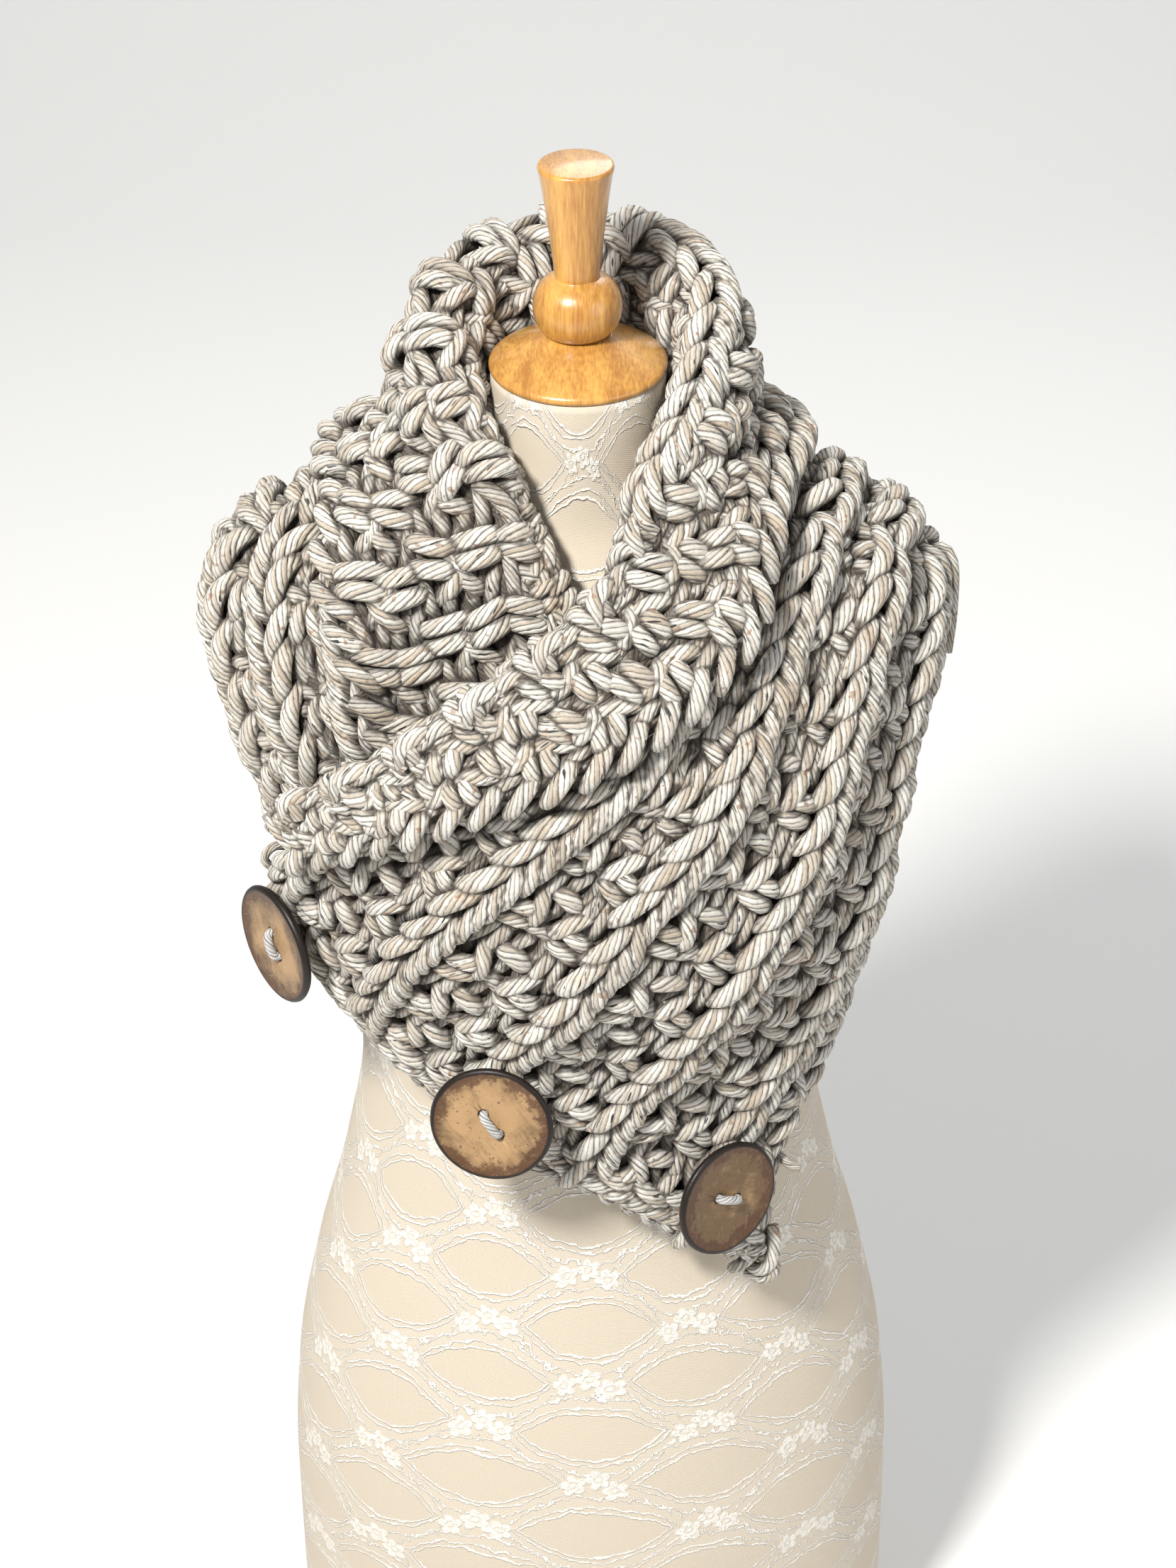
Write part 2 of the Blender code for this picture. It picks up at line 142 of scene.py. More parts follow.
LEFT_FRONT = table(
    STATION,
    (-32, 0.590, -50, 0.578, -74, 0.560, 0.0030, 0.0050),
    (-34, 0.650, -58, 0.640, -84, 0.625, 0.0030, 0.0080),
    (-38, 0.710, -62, 0.700, -89, 0.680, 0.0040, 0.0190),
    (-44, 0.752, -68, 0.738, -92, 0.718, 0.0080, 0.0260),
    (-58, 0.785, -78, 0.765, -97, 0.742, 0.0100, 0.0290),
)
BACK = table(
    STATION,
    (53, 0.792, 69, 0.770, 96, 0.733, 0.0080, 0.0220),
    (90, 0.796, 98, 0.768, 108, 0.715, 0.0080, 0.0230),
    (135, 0.798, 136, 0.742, 138, 0.640, 0.0080, 0.0140),
    (180, 0.798, 180, 0.735, 180, 0.605, 0.0080, 0.0100),
    (225, 0.798, 224, 0.742, 222, 0.640, 0.0080, 0.0140),
    (270, 0.794, 262, 0.768, 252, 0.722, 0.0080, 0.0260),
    (301, 0.785, 281, 0.765, 262, 0.743, 0.0100, 0.0290),
)
# Stations round the collar: its foot, its fold and its free edge.
COLLAR = table(
    "turn_foot z_foot lift_foot turn_fold z_fold lift_fold turn_free z_free lift_free",
    (-52, 0.664, 0.0455, -52, 0.674, 0.048, -51, 0.656, 0.046),  # tip
    (-24, 0.705, 0.0455, -23, 0.716, 0.052, -21, 0.690, 0.046),  # right tail
    (-4, 0.738, 0.040, -2, 0.754, 0.054, 3, 0.712, 0.046),  # right low
    (12, 0.768, 0.024, 12, 0.788, 0.048, 22, 0.742, 0.046),  # right chest
    (34, 0.802, 0.009, 36, 0.834, 0.032, 40, 0.778, 0.044),  # right base
    (72, 0.814, 0.008, 76, 0.868, 0.022, 70, 0.792, 0.037),  # right neck
    (125, 0.814, 0.010, 125, 0.892, 0.034, 120, 0.784, 0.038),  # right back
    (180, 0.816, 0.012, 180, 0.898, 0.038, 180, 0.776, 0.038),  # nape
    (235, 0.814, 0.010, 235, 0.892, 0.034, 235, 0.782, 0.040),  # left back
    (288, 0.814, 0.008, 284, 0.866, 0.028, 286, 0.784, 0.044),  # left neck
    (322, 0.806, 0.009, 322, 0.826, 0.030, 309, 0.764, 0.038),  # left base
    (348, 0.792, 0.016, 344, 0.782, 0.024, 321, 0.738, 0.030),  # left chest
    (360, 0.752, 0.010, 352, 0.744, 0.012, 326, 0.702, 0.012),  # left low
    (366, 0.710, 0.009, 356, 0.700, 0.010, 330, 0.660, 0.009),  # left tip
)
BUTTONS: list[dict[str, Any]] = [
    dict(name="1", turn=-62, z=0.590, lift=0.0458, yaw=-55, pitch=0, tilt=-62, dark=0.20),
    dict(name="2", turn=-17, z=0.521, lift=0.0530, yaw=-10, pitch=10, tilt=-52, dark=0.0),
    dict(name="3", turn=27, z=0.438, lift=0.0478, yaw=38, pitch=8, tilt=-25, dark=0.80),
]

CAP_PROFILE = ((0.0, 0.8629), (0.0416, 0.8629), (0.0428, 0.8633), (0.0432, 0.8642),
               (0.0433, 0.8652), (0.0430, 0.8661), (0.0422, 0.8670), (0.0405, 0.8680),
               (0.0340, 0.8716), (0.0260, 0.8757), (0.0190, 0.8794), (0.0170, 0.8806),
               (0.0163, 0.8811), (0.0, 0.8812))
FINIAL_PROFILE = ((0.0, 0.8815), (0.0146, 0.8815), (0.0163, 0.8822), (0.0184, 0.8843),
                  (0.0202, 0.8875), (0.0212, 0.8910), (0.02155, 0.8950), (0.0212, 0.8990),
                  (0.0201, 0.9025), (0.0183, 0.9056), (0.0160, 0.9079), (0.0136, 0.9095),
                  (0.0112, 0.9103), (0.0106, 0.9106), (0.0108, 0.9112), (0.0110, 0.9145),
                  (0.0118, 0.9220), (0.0130, 0.9320), (0.0145, 0.9430), (0.0160, 0.9540),
                  (0.0173, 0.9625), (0.0179, 0.9650), (0.0181, 0.9661), (0.01795, 0.9671),
                  (0.0174, 0.9677), (0.0166, 0.9680), (0.0, 0.9680))


class Lean(Enum):
    """Which side of a column the bumps' hooks lie on."""

    LEFT = -1
    RIGHT = 1


def jitter(*keys: float) -> float:
    """A repeatable scatter from -1 to 1 for the given keys.

    Args:
        *keys: numbers that name the thing scattered.

    Returns:
        The same number for the same keys, each run.
    """
    total = sum(key * weight for key, weight in zip(keys, (12.9898, 78.233, 37.719, 4.581)))
    value = math.sin(total) * 43758.5453
    return 2 * (value - math.floor(value)) - 1


class SmoothTable:
    """A smooth curve through a table's values that never overshoots them."""

    def __init__(self, places: Sequence[float], values: Sequence[float]) -> None:
        """Works out the slope at each place.

        Args:
            places: rising positions.
            values: the value at each.
        """
        self.places = np.asarray(places, float)
        self.values = np.asarray(values, float)
        steps = np.diff(self.values) / np.diff(self.places)
        slopes = np.empty(len(self.values))
        slopes[0], slopes[-1] = steps[0], steps[-1]
        before, after = steps[:-1], steps[1:]
        total = np.where(before + after == 0, 1, before + after)
        slopes[1:-1] = np.where(before * after <= 0, 0, 2 * before * after / total)
        self.slopes = slopes

    def __call__(self, x: np.ndarray | float) -> np.ndarray:
        """The curve's value.

        Args:
            x: one position or many.

        Returns:
            The value at each.
        """
        at = np.asarray(x, float)
        i = np.clip(np.searchsorted(self.places, at, side="right") - 1, 0, len(self.places) - 2)
        width = self.places[i + 1] - self.places[i]
        t = (at - self.places[i]) / width
        return ((2 * t**3 - 3 * t**2 + 1) * self.values[i]
                + (t**3 - 2 * t**2 + t) * width * self.slopes[i]
                + (3 * t**2 - 2 * t**3) * self.values[i + 1]
                + (t**3 - t**2) * width * self.slopes[i + 1])


class FormShape:
    """The limbless form's surface, and the way out of it."""

    def __init__(self) -> None:
        """Reads the girth table."""
        heights = [row["z"] for row in GIRTHS]
        self.top = heights[-1]
        self.half_width = SmoothTable(heights, [row["half_width"] for row in GIRTHS])
        self.half_depth = SmoothTable(heights, [row["half_depth"] for row in GIRTHS])
        self.middle = SmoothTable(heights, [row["y"] for row in GIRTHS])

    def point(self, turn: np.ndarray | float, z: np.ndarray | float) -> np.ndarray:
        """The form's surface.

        Args:
            turn: degrees round the form, 0 at the front and 90 at the viewer's right.
            z: height.

        Returns:
            Points, the last axis being x, y and z.
        """
        angle = np.radians(turn)
        level = np.minimum(z, self.top)
        x = self.half_width(level) * np.sin(angle)
        y = self.middle(level) - self.half_depth(level) * np.cos(angle)
        return np.stack(np.broadcast_arrays(x, y, np.asarray(z, float)), axis=-1)

    def cloth(self, turn: np.ndarray | float, z: np.ndarray | float,
              lift: np.ndarray | float, reach: float = 0.024) -> np.ndarray:
        """Points of cloth lifted off the form, as the part's source has them.

        Args:
            turn: degrees round the form.
            z: height.
            lift: how far off the form.
            reach: how far up and down the way out is measured over.

        Returns:
            Points, the last axis being x, y and z.
        """
        turn = np.asarray(turn, float)
        z = np.asarray(z, float)
        round_it = self.point(turn + 2, z) - self.point(turn - 2, z)
        up_it = self.point(turn, z + reach) - self.point(turn, z - reach)
        out = np.cross(round_it, up_it)
        out /= np.linalg.norm(out, axis=-1, keepdims=True)
        return self.point(turn, z) + np.asarray(lift, float)[..., None] * out


class ClothSurface:
    """The middle of one stretch's wall, as a fine grid with its way out."""

    def __init__(self, points: np.ndarray) -> None:
        """Works out the way out of the cloth at each point.

        Args:
            points: a grid of points, along the ribs first and across them second.
        """
        self.points = points
        along = np.gradient(points, axis=0)
        across = np.gradient(points, axis=1)
        out = np.cross(along, across)
        out /= np.linalg.norm(out, axis=-1, keepdims=True) + 1e-12
        self.out = out
        steps = np.linalg.norm(np.diff(points, axis=1), axis=2)
        start = np.zeros((len(points), 1))
        self.reach_across = np.concatenate([start, steps.cumsum(axis=1)], axis=1)

    def across_at(self, u: np.ndarray, start: float, stop: float, part: np.ndarray) -> np.ndarray:
        """The place across the cloth that is a part of the real way from start to stop.

        Args:
            u: places along the ribs.
            start: where the way begins, from 0 to 1 across.
            stop: where it ends.
            part: how much of it, 0 to 1, at each u.

        Returns:
            The place across, 0 to 1, at each u.
        """
        rows, columns = self.points.shape[:2]
        places = np.linspace(0, 1, columns)
        found = []
        for at, share in zip(u, np.broadcast_to(part, np.shape(u))):
            reach = self.reach_across[int(round(at * (rows - 1)))]
            low, high = np.interp((start, stop), places, reach)
            found.append(np.interp(low + (high - low) * share, reach, places))
        return np.array(found)

    def flip(self) -> ClothSurface:
        """Turns the way out round."""
        self.out = -self.out
        return self

    def sample(self, u: np.ndarray, v: np.ndarray) -> tuple[np.ndarray, np.ndarray]:
        """Points and ways out at places on the cloth.

        Args:
            u: 0 to 1 along the ribs.
            v: 0 to 1 across them.

        Returns:
            The points, and the unit vectors out of the cloth.
        """
        rows, columns = self.points.shape[:2]
        x = np.clip(np.asarray(u, float), 0, 1) * (rows - 1)
        y = np.clip(np.asarray(v, float), 0, 1) * (columns - 1)
        i = np.minimum(x.astype(int), rows - 2)
        j = np.minimum(y.astype(int), columns - 2)
        s = (x - i)[:, None]
        t = (y - j)[:, None]

        def mix(grid: np.ndarray) -> np.ndarray:
            """A grid's value between its four nearest places."""
            low = grid[i, j] * (1 - s) + grid[i + 1, j] * s
            high = grid[i, j + 1] * (1 - s) + grid[i + 1, j + 1] * s
            return low * (1 - t) + high * t

        out = mix(self.out)
        return mix(self.points), out / (np.linalg.norm(out, axis=1, keepdims=True) + 1e-12)


def stretch_surface(form: FormShape, rows: list[Row]) -> ClothSurface:
    """Where a stretch's stitches are laid: just under the middle of its wall.

    Args:
        form: the form that it lies on.
        rows: its stations.

    Returns:
        The surface, its way out turned outwards.
    """
    places = [i / (len(rows) - 1) for i in range(len(rows))]
    u, v = np.meshgrid(np.linspace(0, 1, 141), np.linspace(0, 1, 61), indexing="ij")
    weights = ((1 - v) * (1 - 2 * v), 4 * v * (1 - v), v * (2 * v - 1))

    def across(key: str) -> np.ndarray:
        """A size over the whole stretch, curved through its three stations."""
        ends = [SmoothTable(places, [row[key + end] for row in rows])(u)
                for end in ("_in", "_mid", "_out")]
        return sum(weight * value for weight, value in zip(weights, ends))

    low = SmoothTable(places, [row["lift_in"] for row in rows])(u)
    high = SmoothTable(places, [row["lift_out"] for row in rows])(u)
    lift = (1 - v) * low + v * high + WALL / 2 - SINK
    surface = ClothSurface(form.cloth(across("turn"), across("z"), lift))
    facing = (surface.points * (1, 1, 0) * surface.out).sum()
    return surface.flip() if facing < 0 else surface


def collar_surface(form: FormShape) -> ClothSurface:
    """The middle of the collar's wall, over its fold, from its station table.

    Args:
        form: the form that it stands on.

    Returns:
        The surface, its outer face turned outwards.
    """
    roundness = 0.8
    outer_column = 60
    places = [i / (len(COLLAR) - 1) for i in range(len(COLLAR))]
    u, w = np.meshgrid(np.linspace(0, 1, 241), np.linspace(0, 1, 81), indexing="ij")
    angle = math.pi * w
    rise = np.sin(angle) ** roundness
    reach = 1 - np.abs(np.cos(angle)) ** roundness
    sizes = {}
    for key in ("turn", "z", "lift"):
        foot, fold, free = (SmoothTable(places, [row[key + end] for row in COLLAR])(u)
                            for end in ("_foot", "_fold", "_free"))
        low = np.where(w < 0.5, foot, free)
        sizes[key] = low + (fold - low) * (rise if key == "z" else reach)
    surface = ClothSurface(form.cloth(sizes["turn"], sizes["z"], sizes["lift"], reach=0.05))
    facing = (surface.points[:, outer_column] * (1, 1, 0) * surface.out[:, outer_column]).sum()
    return surface.flip() if facing < 0 else surface


def place_in_scene(name: str, data: Any) -> Object:
    """A new object in the scene with the mesh, light or camera given."""
    made = bpy.data.objects.new(name, data)
    bpy.context.scene.collection.objects.link(made)
    return made


def plain_mesh(source: Object) -> Mesh:
    """The mesh that an object's modifiers make.

    Args:
        source: the object, its modifiers set.

    Returns:
        A mesh of its own.
    """
    bpy.context.view_layer.update()
    graph = bpy.context.evaluated_depsgraph_get()
    return bpy.data.meshes.new_from_object(source.evaluated_get(graph), depsgraph=graph)


def read_points(mesh: Mesh, kind: str = "co") -> np.ndarray:
    """The place of each of a mesh's points, or its normal.

    Args:
        mesh: the mesh.
        kind: co for the places, normal for the normals.

    Returns:
        A row of three numbers for each point.
    """
    found = np.empty(len(mesh.vertices) * 3, np.float32)
    mesh.vertices.foreach_get(kind, found)
    return found.reshape(-1, 3)


def store_numbers(mesh: Mesh, **numbers: np.ndarray) -> None:
    """Stores numbers on a mesh's points for the finishes and the yarn's tree to read.

    Args:
        mesh: the mesh.
        **numbers: a number for each point, under the name that it is read by.
    """
    for key, values in numbers.items():
        mesh.attributes.new(key, "FLOAT", "POINT").data.foreach_set(
            "value", np.ascontiguousarray(values, float))


@dataclass
class Strand:
    """One length of yarn, as points with a radius and a height out of the cloth each."""

    points: np.ndarray
    radii: np.ndarray
    heights: np.ndarray
    shade: float
    out: np.ndarray


class Track:
    """A line along a cloth surface that a column of stitches follows."""

    def __init__(self, surface: ClothSurface, u: np.ndarray, v: np.ndarray) -> None:
        """Measures the line.

        Args:
            surface: the cloth.
            u: places along the ribs.
            v: places across them.
        """
        self.points, self.out = surface.sample(u, v)
        steps = np.linalg.norm(np.diff(self.points, axis=0), axis=1)
        self.at = np.concatenate([[0.0], steps.cumsum()])
        self.length = float(self.at[-1])
        tangent = np.gradient(self.points, axis=0)
        tangent /= np.linalg.norm(tangent, axis=1, keepdims=True) + 1e-12
        side = np.cross(self.out, tangent)
        self.side = side / (np.linalg.norm(side, axis=1, keepdims=True) + 1e-12)
        self.tangent = tangent

    def outwards(self, s: float) -> np.ndarray:
        """The way out of the cloth at a distance along the line."""
        out = np.array([np.interp(s, self.at, self.out[:, k]) for k in range(3)])
        return out / np.linalg.norm(out)

    def place(self, s: np.ndarray, b: np.ndarray, h: np.ndarray) -> np.ndarray:
        """World points along the line.

        Args:
            s: distances along it.
            b: distances beside it.
            h: heights out of the cloth.

        Returns:
            The points.
        """
        s = np.asarray(s, float)
        inside = np.clip(s, 0, self.length)

        def take(grid: np.ndarray) -> np.ndarray:
            """A grid's value at each distance."""
            return np.stack([np.interp(inside, self.at, grid[:, k]) for k in range(3)], axis=1)

        beyond = (s - inside)[:, None]
        return (take(self.points) + take(self.side) * np.asarray(b)[:, None]
                + take(self.out) * np.asarray(h)[:, None] + take(self.tangent) * beyond)


def smooth_path(knots: Sequence[Sequence[float]], count: int = 12) -> np.ndarray:
    """A smooth path through a few knots.

    Args:
        knots: the places it passes.
        count: how many points to give.

    Returns:
        An array of points.
    """
    grid = np.asarray(knots, float)
    steps = np.linalg.norm(np.diff(grid, axis=0), axis=1)
    at = np.concatenate([[0.0], steps.cumsum()])
    padded = np.vstack([2 * grid[0] - grid[1], grid, 2 * grid[-1] - grid[-2]])
    places = np.linspace(0, at[-1], count)
    i = np.clip(np.searchsorted(at, places, side="right") - 1, 0, len(grid) - 2)
    t = ((places - at[i]) / (at[i + 1] - at[i] + 1e-12))[:, None]
    p0, p1, p2, p3 = padded[i], padded[i + 1], padded[i + 2], padded[i + 3]
    return 0.5 * (2 * p1 + (p2 - p0) * t + (2 * p0 - 5 * p1 + 4 * p2 - p3) * t**2
                  + (3 * p1 - p0 - 3 * p2 + p3) * t**3)


@dataclass
class Knitting:
    """Lays columns of stitches along tracks and keeps their strands.

    Radius and pitch are in metres. How much a bump swells, and how far a stitch may stand past
    the line's two ends, are in millimetres.
    """

    radius: float = YARN_RADIUS
    pitch: float = PITCH
    size: float = 1.0
    swelling: float = 0.0
    past: tuple[float, float] = (3.5, 3.5)
    strands: list[Strand] = field(default_factory=list)
    columns: int = 0

    def lay(self, track: Track, knots: Sequence[Sequence[float]], scale: float, shade: float,
            swell: float = 1.0, count: int = 11) -> None:
        """Adds one strand.

        Args:
            track: the line it belongs to.
            knots: its knots in millimetres, as distance along, beside and out of the cloth.
            scale: the yarn's thickness against the usual.
            shade: which length of the yarn this is, from 0 to 1.
            swell: how much thicker it is in the middle than at its ends.
            count: how many points it gets.
        """
        path = smooth_path(knots, count) * 0.001
        q = np.linspace(0, 1, count)
        thin = 0.28 * swell
        thick = self.radius * scale * (1 - thin + thin * np.sin(math.pi * q) ** 0.6)
        places = track.place(path[:, 0], path[:, 1], path[:, 2])
        out = track.outwards(float(path[count // 2, 0]))
        self.strands.append(Strand(places, thick, path[:, 2], shade, out))

    def stitch(self, track: Track, at: float, way: int, wide: float,
               knots: Sequence[Sequence[float]], scale: float, shade: float,
               swell: float = 1.0) -> None:
        """Adds one strand of a stitch, its knots measured from the stitch's middle.

        Args:
            track: the column's line.
            at: the stitch's middle along the line, in metres.
            way: 1 if the strip is knitted along the line, -1 if against it.
            wide: the room across, against the usual.
            knots: its knots in millimetres, for a strip knitted along the line.
            scale: the yarn's thickness against the usual.
            shade: which length of the yarn this is, from 0 to 1.
            swell: how much thicker it is in the middle than at its ends.
        """
        size = self.size
        ends = sorted(at * 1000 + way * knots[k][0] * size for k in (0, -1))
        if ends[0] < -self.past[0] or ends[1] > track.length * 1000 + self.past[1]:
            return
        placed = [(at * 1000 + way * along * size, way * beside * wide * size, out * size)
                  for along, beside, out in knots]
        self.lay(track, placed, scale, shade, swell)

    def braid(self, track: Track, start: float, stop: float, way: int = 1, wide: float = 1.0,
              high: float = 0.0) -> None:
        """A raised rib: two-strand loops on one side, and tight rope-like legs on the other.

        Args:
            track: the rib's line.
            start: where it begins along the line.
            stop: where it ends.
            way: 1 if the strip is knitted along the line, -1 if against it.
            wide: its width against the usual.
            high: how much higher than usual it stands, in millimetres.
        """
        self.columns += 1
        count = max(1, int((stop - start) / self.pitch))
        pitch = (stop - start) / count
        for i in range(count):
            k = self.columns * 7.3 + i * 1.7
            s = start + (i + 0.5) * pitch + 0.0018 * jitter(k, 1)
            drift = 1.4 * jitter(k, 2)
            top = high + 1.4 * jitter(k, 3)
            shade = 0.5 + 0.5 * jitter(k, 4)
            knots = (
                (-18.5, 9.0, -4.5),
                (-14.0, 9.7, 3.2 + top),
                (-6.0, 8.2 + drift, 8.9 + top),
                (4.0, 5.2 + drift, 9.8 + top),
                (12.0, 2.4, 6.4 + high),
                (18.5, 0.2, -0.5),
            )
            self.stitch(track, s, way, wide, knots, 1.12 + 0.08 * jitter(k, 5), shade, 1.6)
            shade = 0.5 + 0.5 * jitter(k, 6)
            for part in (-1, 1):
                here = s + way * (part * 0.25 * pitch)
                knots = (
                    (-14.0, -10.6, -5.0),
                    (-11.0, -10.2 + drift, 3.8 + top),
                    (-3.0, -7.8 + drift, 9.3 + top),
                    (5.5, -4.8, 9.8 + top),
                    (11.5, -1.8, 5.4 + high),
                    (14.5, -0.6, -1.0),
                )
                self.stitch(track, here, way, wide, knots, 0.95 + 0.05 * jitter(k, 7 + part),
                            shade + 0.06 * part)

    def bumps(self, track: Track, start: float, stop: float, room: Callable[[float], float],
              lean: Lean, late: float, way: int = 1) -> None:
        """A column of two-strand bumps with hooked ends, beside a rib, and posts between them.

        Args:
            track: the column's line.
            start: where it begins along the line.
            stop: where it ends.
            room: the room across it, against the usual, at a distance along.
            lean: which way its hooks lean.
            late: how far along its first bump is, in stitches.
            way: 1 if the strip is knitted along the line, -1 if against it.
        """
        self.columns += 1
        turn = lean.value
        step = 2 * self.pitch
        s = start + late * self.pitch
        i = 0
        while s < stop + 0.5 * self.pitch:
            w = max(room(s), 0.5)
            k = self.columns * 5.9 + i * 2.3
            here = s + 0.0026 * jitter(k, 6)
            top = 6.2 + self.swelling + 1.6 * jitter(k, 7) - 6.0 * (1 - w)
            thick = 1.05 + 0.06 * jitter(k, 8)
            slant = turn * 2.2 + 2.8 * jitter(k, 9)
            shade = 0.5 + 0.5 * jitter(k, 5)
            for part in (-1, 1):
                mid = part * 4.6
                knots = (
                    (mid * 0.6 - slant, -11.6, -6.0),
                    (mid - slant * 0.9, -9.4, top * 0.50),
                    (mid * 1.05, 0.0, top + 0.8 * part),
                    (mid + slant * 0.9, 9.4, top * 0.50),
                    (mid * 0.6 + slant, 11.6, -6.0),
                )
                self.stitch(track, here, way, w, knots, thick, shade + 0.05 * part)
            hook = (
                (22.0, turn * -3.0, -5.0),
                (18.5, turn * 1.5, 0.6),
                (12.0, turn * 7.8, 3.4 + top * 0.2),
                (4.0, turn * 12.2, 3.0 + top * 0.2),
                (-3.0, turn * 12.4, -3.5),
            )
            self.stitch(track, here, way, w, hook, thick * 0.98, 0.5 + 0.5 * jitter(k, 10))
            for part, far in ((-1, -10.5), (1, 6.5)):
                post = (
                    (-5.0, part * turn * 3.0, -5.0),
                    (-11.0, part * turn * 4.2, 0.8),
                    (-20.0, (part * 2.0 + far * 0.4) * turn, 1.6 + 0.7 * jitter(k, 12 + part)),
                    (-29.0, far * turn * 0.9, 0.2),
                    (-36.0, far * turn, -5.0),
                )
                self.stitch(track, here, way, w, post, thick * 0.88,
                            0.5 + 0.5 * jitter(k, 14 + part))
            s += step
            i += 1

    def bars(self, track: Track, start: float, stop: float, room: Callable[[float], float],
             late: float, way: int = 1) -> None:
        """The middle column of a valley: recessed two-strand bars, every other one higher.

        Args:
            track: the column's line.
            start: where it begins along the line.
            stop: where it ends.
            room: the room across it, against the usual, at a distance along.
            late: how far along its first bar is, in stitches.
            way: 1 if the strip is knitted along the line, -1 if against it.
        """
        self.columns += 1
        s = start + late * self.pitch
        i = 0
        while s < stop + 0.4 * self.pitch:
            w = room(s)
            if w < 0.52:
                s += self.pitch
                i += 1
                continue
            k = self.columns * 4.7 + i * 2.9
            here = s + 0.0014 * jitter(k, 1)
            top = (3.4 if i % 2 else 0.4) + 0.8 * jitter(k, 2) - 5.0 * (1 - w)
            shade = 0.5 + 0.5 * jitter(k, 3)
            slant = 3.4 * jitter(k, 4)
            knots = (
                (-slant * 0.8, -10.5, -6.5),
                (-slant, -8.2, top * 0.5 - 1.0),
                (1.2, 0.0, top),
                (slant, 8.2, top * 0.5 - 1.0),
                (slant * 0.8, 10.5, -6.5),
            )
            self.stitch(track, here, way, w, knots, 1.18 + 0.06 * jitter(k, 5), shade)
            s += self.pitch
            i += 1

    def filler(self, track: Track, way: int = 1) -> None:
        """A low wavy strand along the whole line, which shows in the gaps between stitches.

        Args:
            track: its line.
            way: 1 if the strip is knitted along the line, -1 if against it.
        """
        self.columns += 1
        count = max(8, int(track.length / 0.0055))
        s = np.linspace(0.004, track.length - 0.004, count)
        turn = s * (2 * math.pi / self.pitch) * way + self.columns * 2.1
        beside = 0.0016 * np.sin(turn)
        out = -0.0012 + 0.0012 * np.cos(turn * 0.5)
        places = track.place(s, beside, out)
        self.strands.append(Strand(places, np.full(count, self.radius * 0.92), out,
                                   0.5 + 0.5 * jitter(self.columns, 3), track.outwards(0.0)))

    def cord_edge(self, track: Track, start: float, stop: float, inward: float,
                  tight: float = 1.0) -> None:
        """The yarn's turns round an edge of the strip.

        Args:
            track: the edge's line.
            start: where it begins along the line.
            stop: where it ends.
            inward: 1 if the cloth lies on the line's left, -1 on its right.
            tight: how close the turns are, against the usual.
        """
        self.columns += 1
        step = 0.0150 / tight
        s = start + 0.007
        i = 0
        while s < stop - 0.005:
            k = self.columns * 3.1 + i * 1.3
            wave = 1.4 * jitter(k, 12)
            at = s * 1000
            knots = (
                (at - 11.0, inward * 12.0, -3.0),
                (at - 5.0, inward * 8.5, 3.6 + wave),
                (at + 3.0, inward * 2.5, 4.4 + wave),
                (at + 8.5, -inward * 2.2, 1.0),
                (at + 10.0, -inward * 1.0, -4.2),
                (at + 8.5, inward * 5.0, -6.2),
            )
            self.lay(track, knots, 0.92 + 0.06 * jitter(k, 13), 0.5 + 0.5 * jitter(k, 14))
            s += step
            i += 1


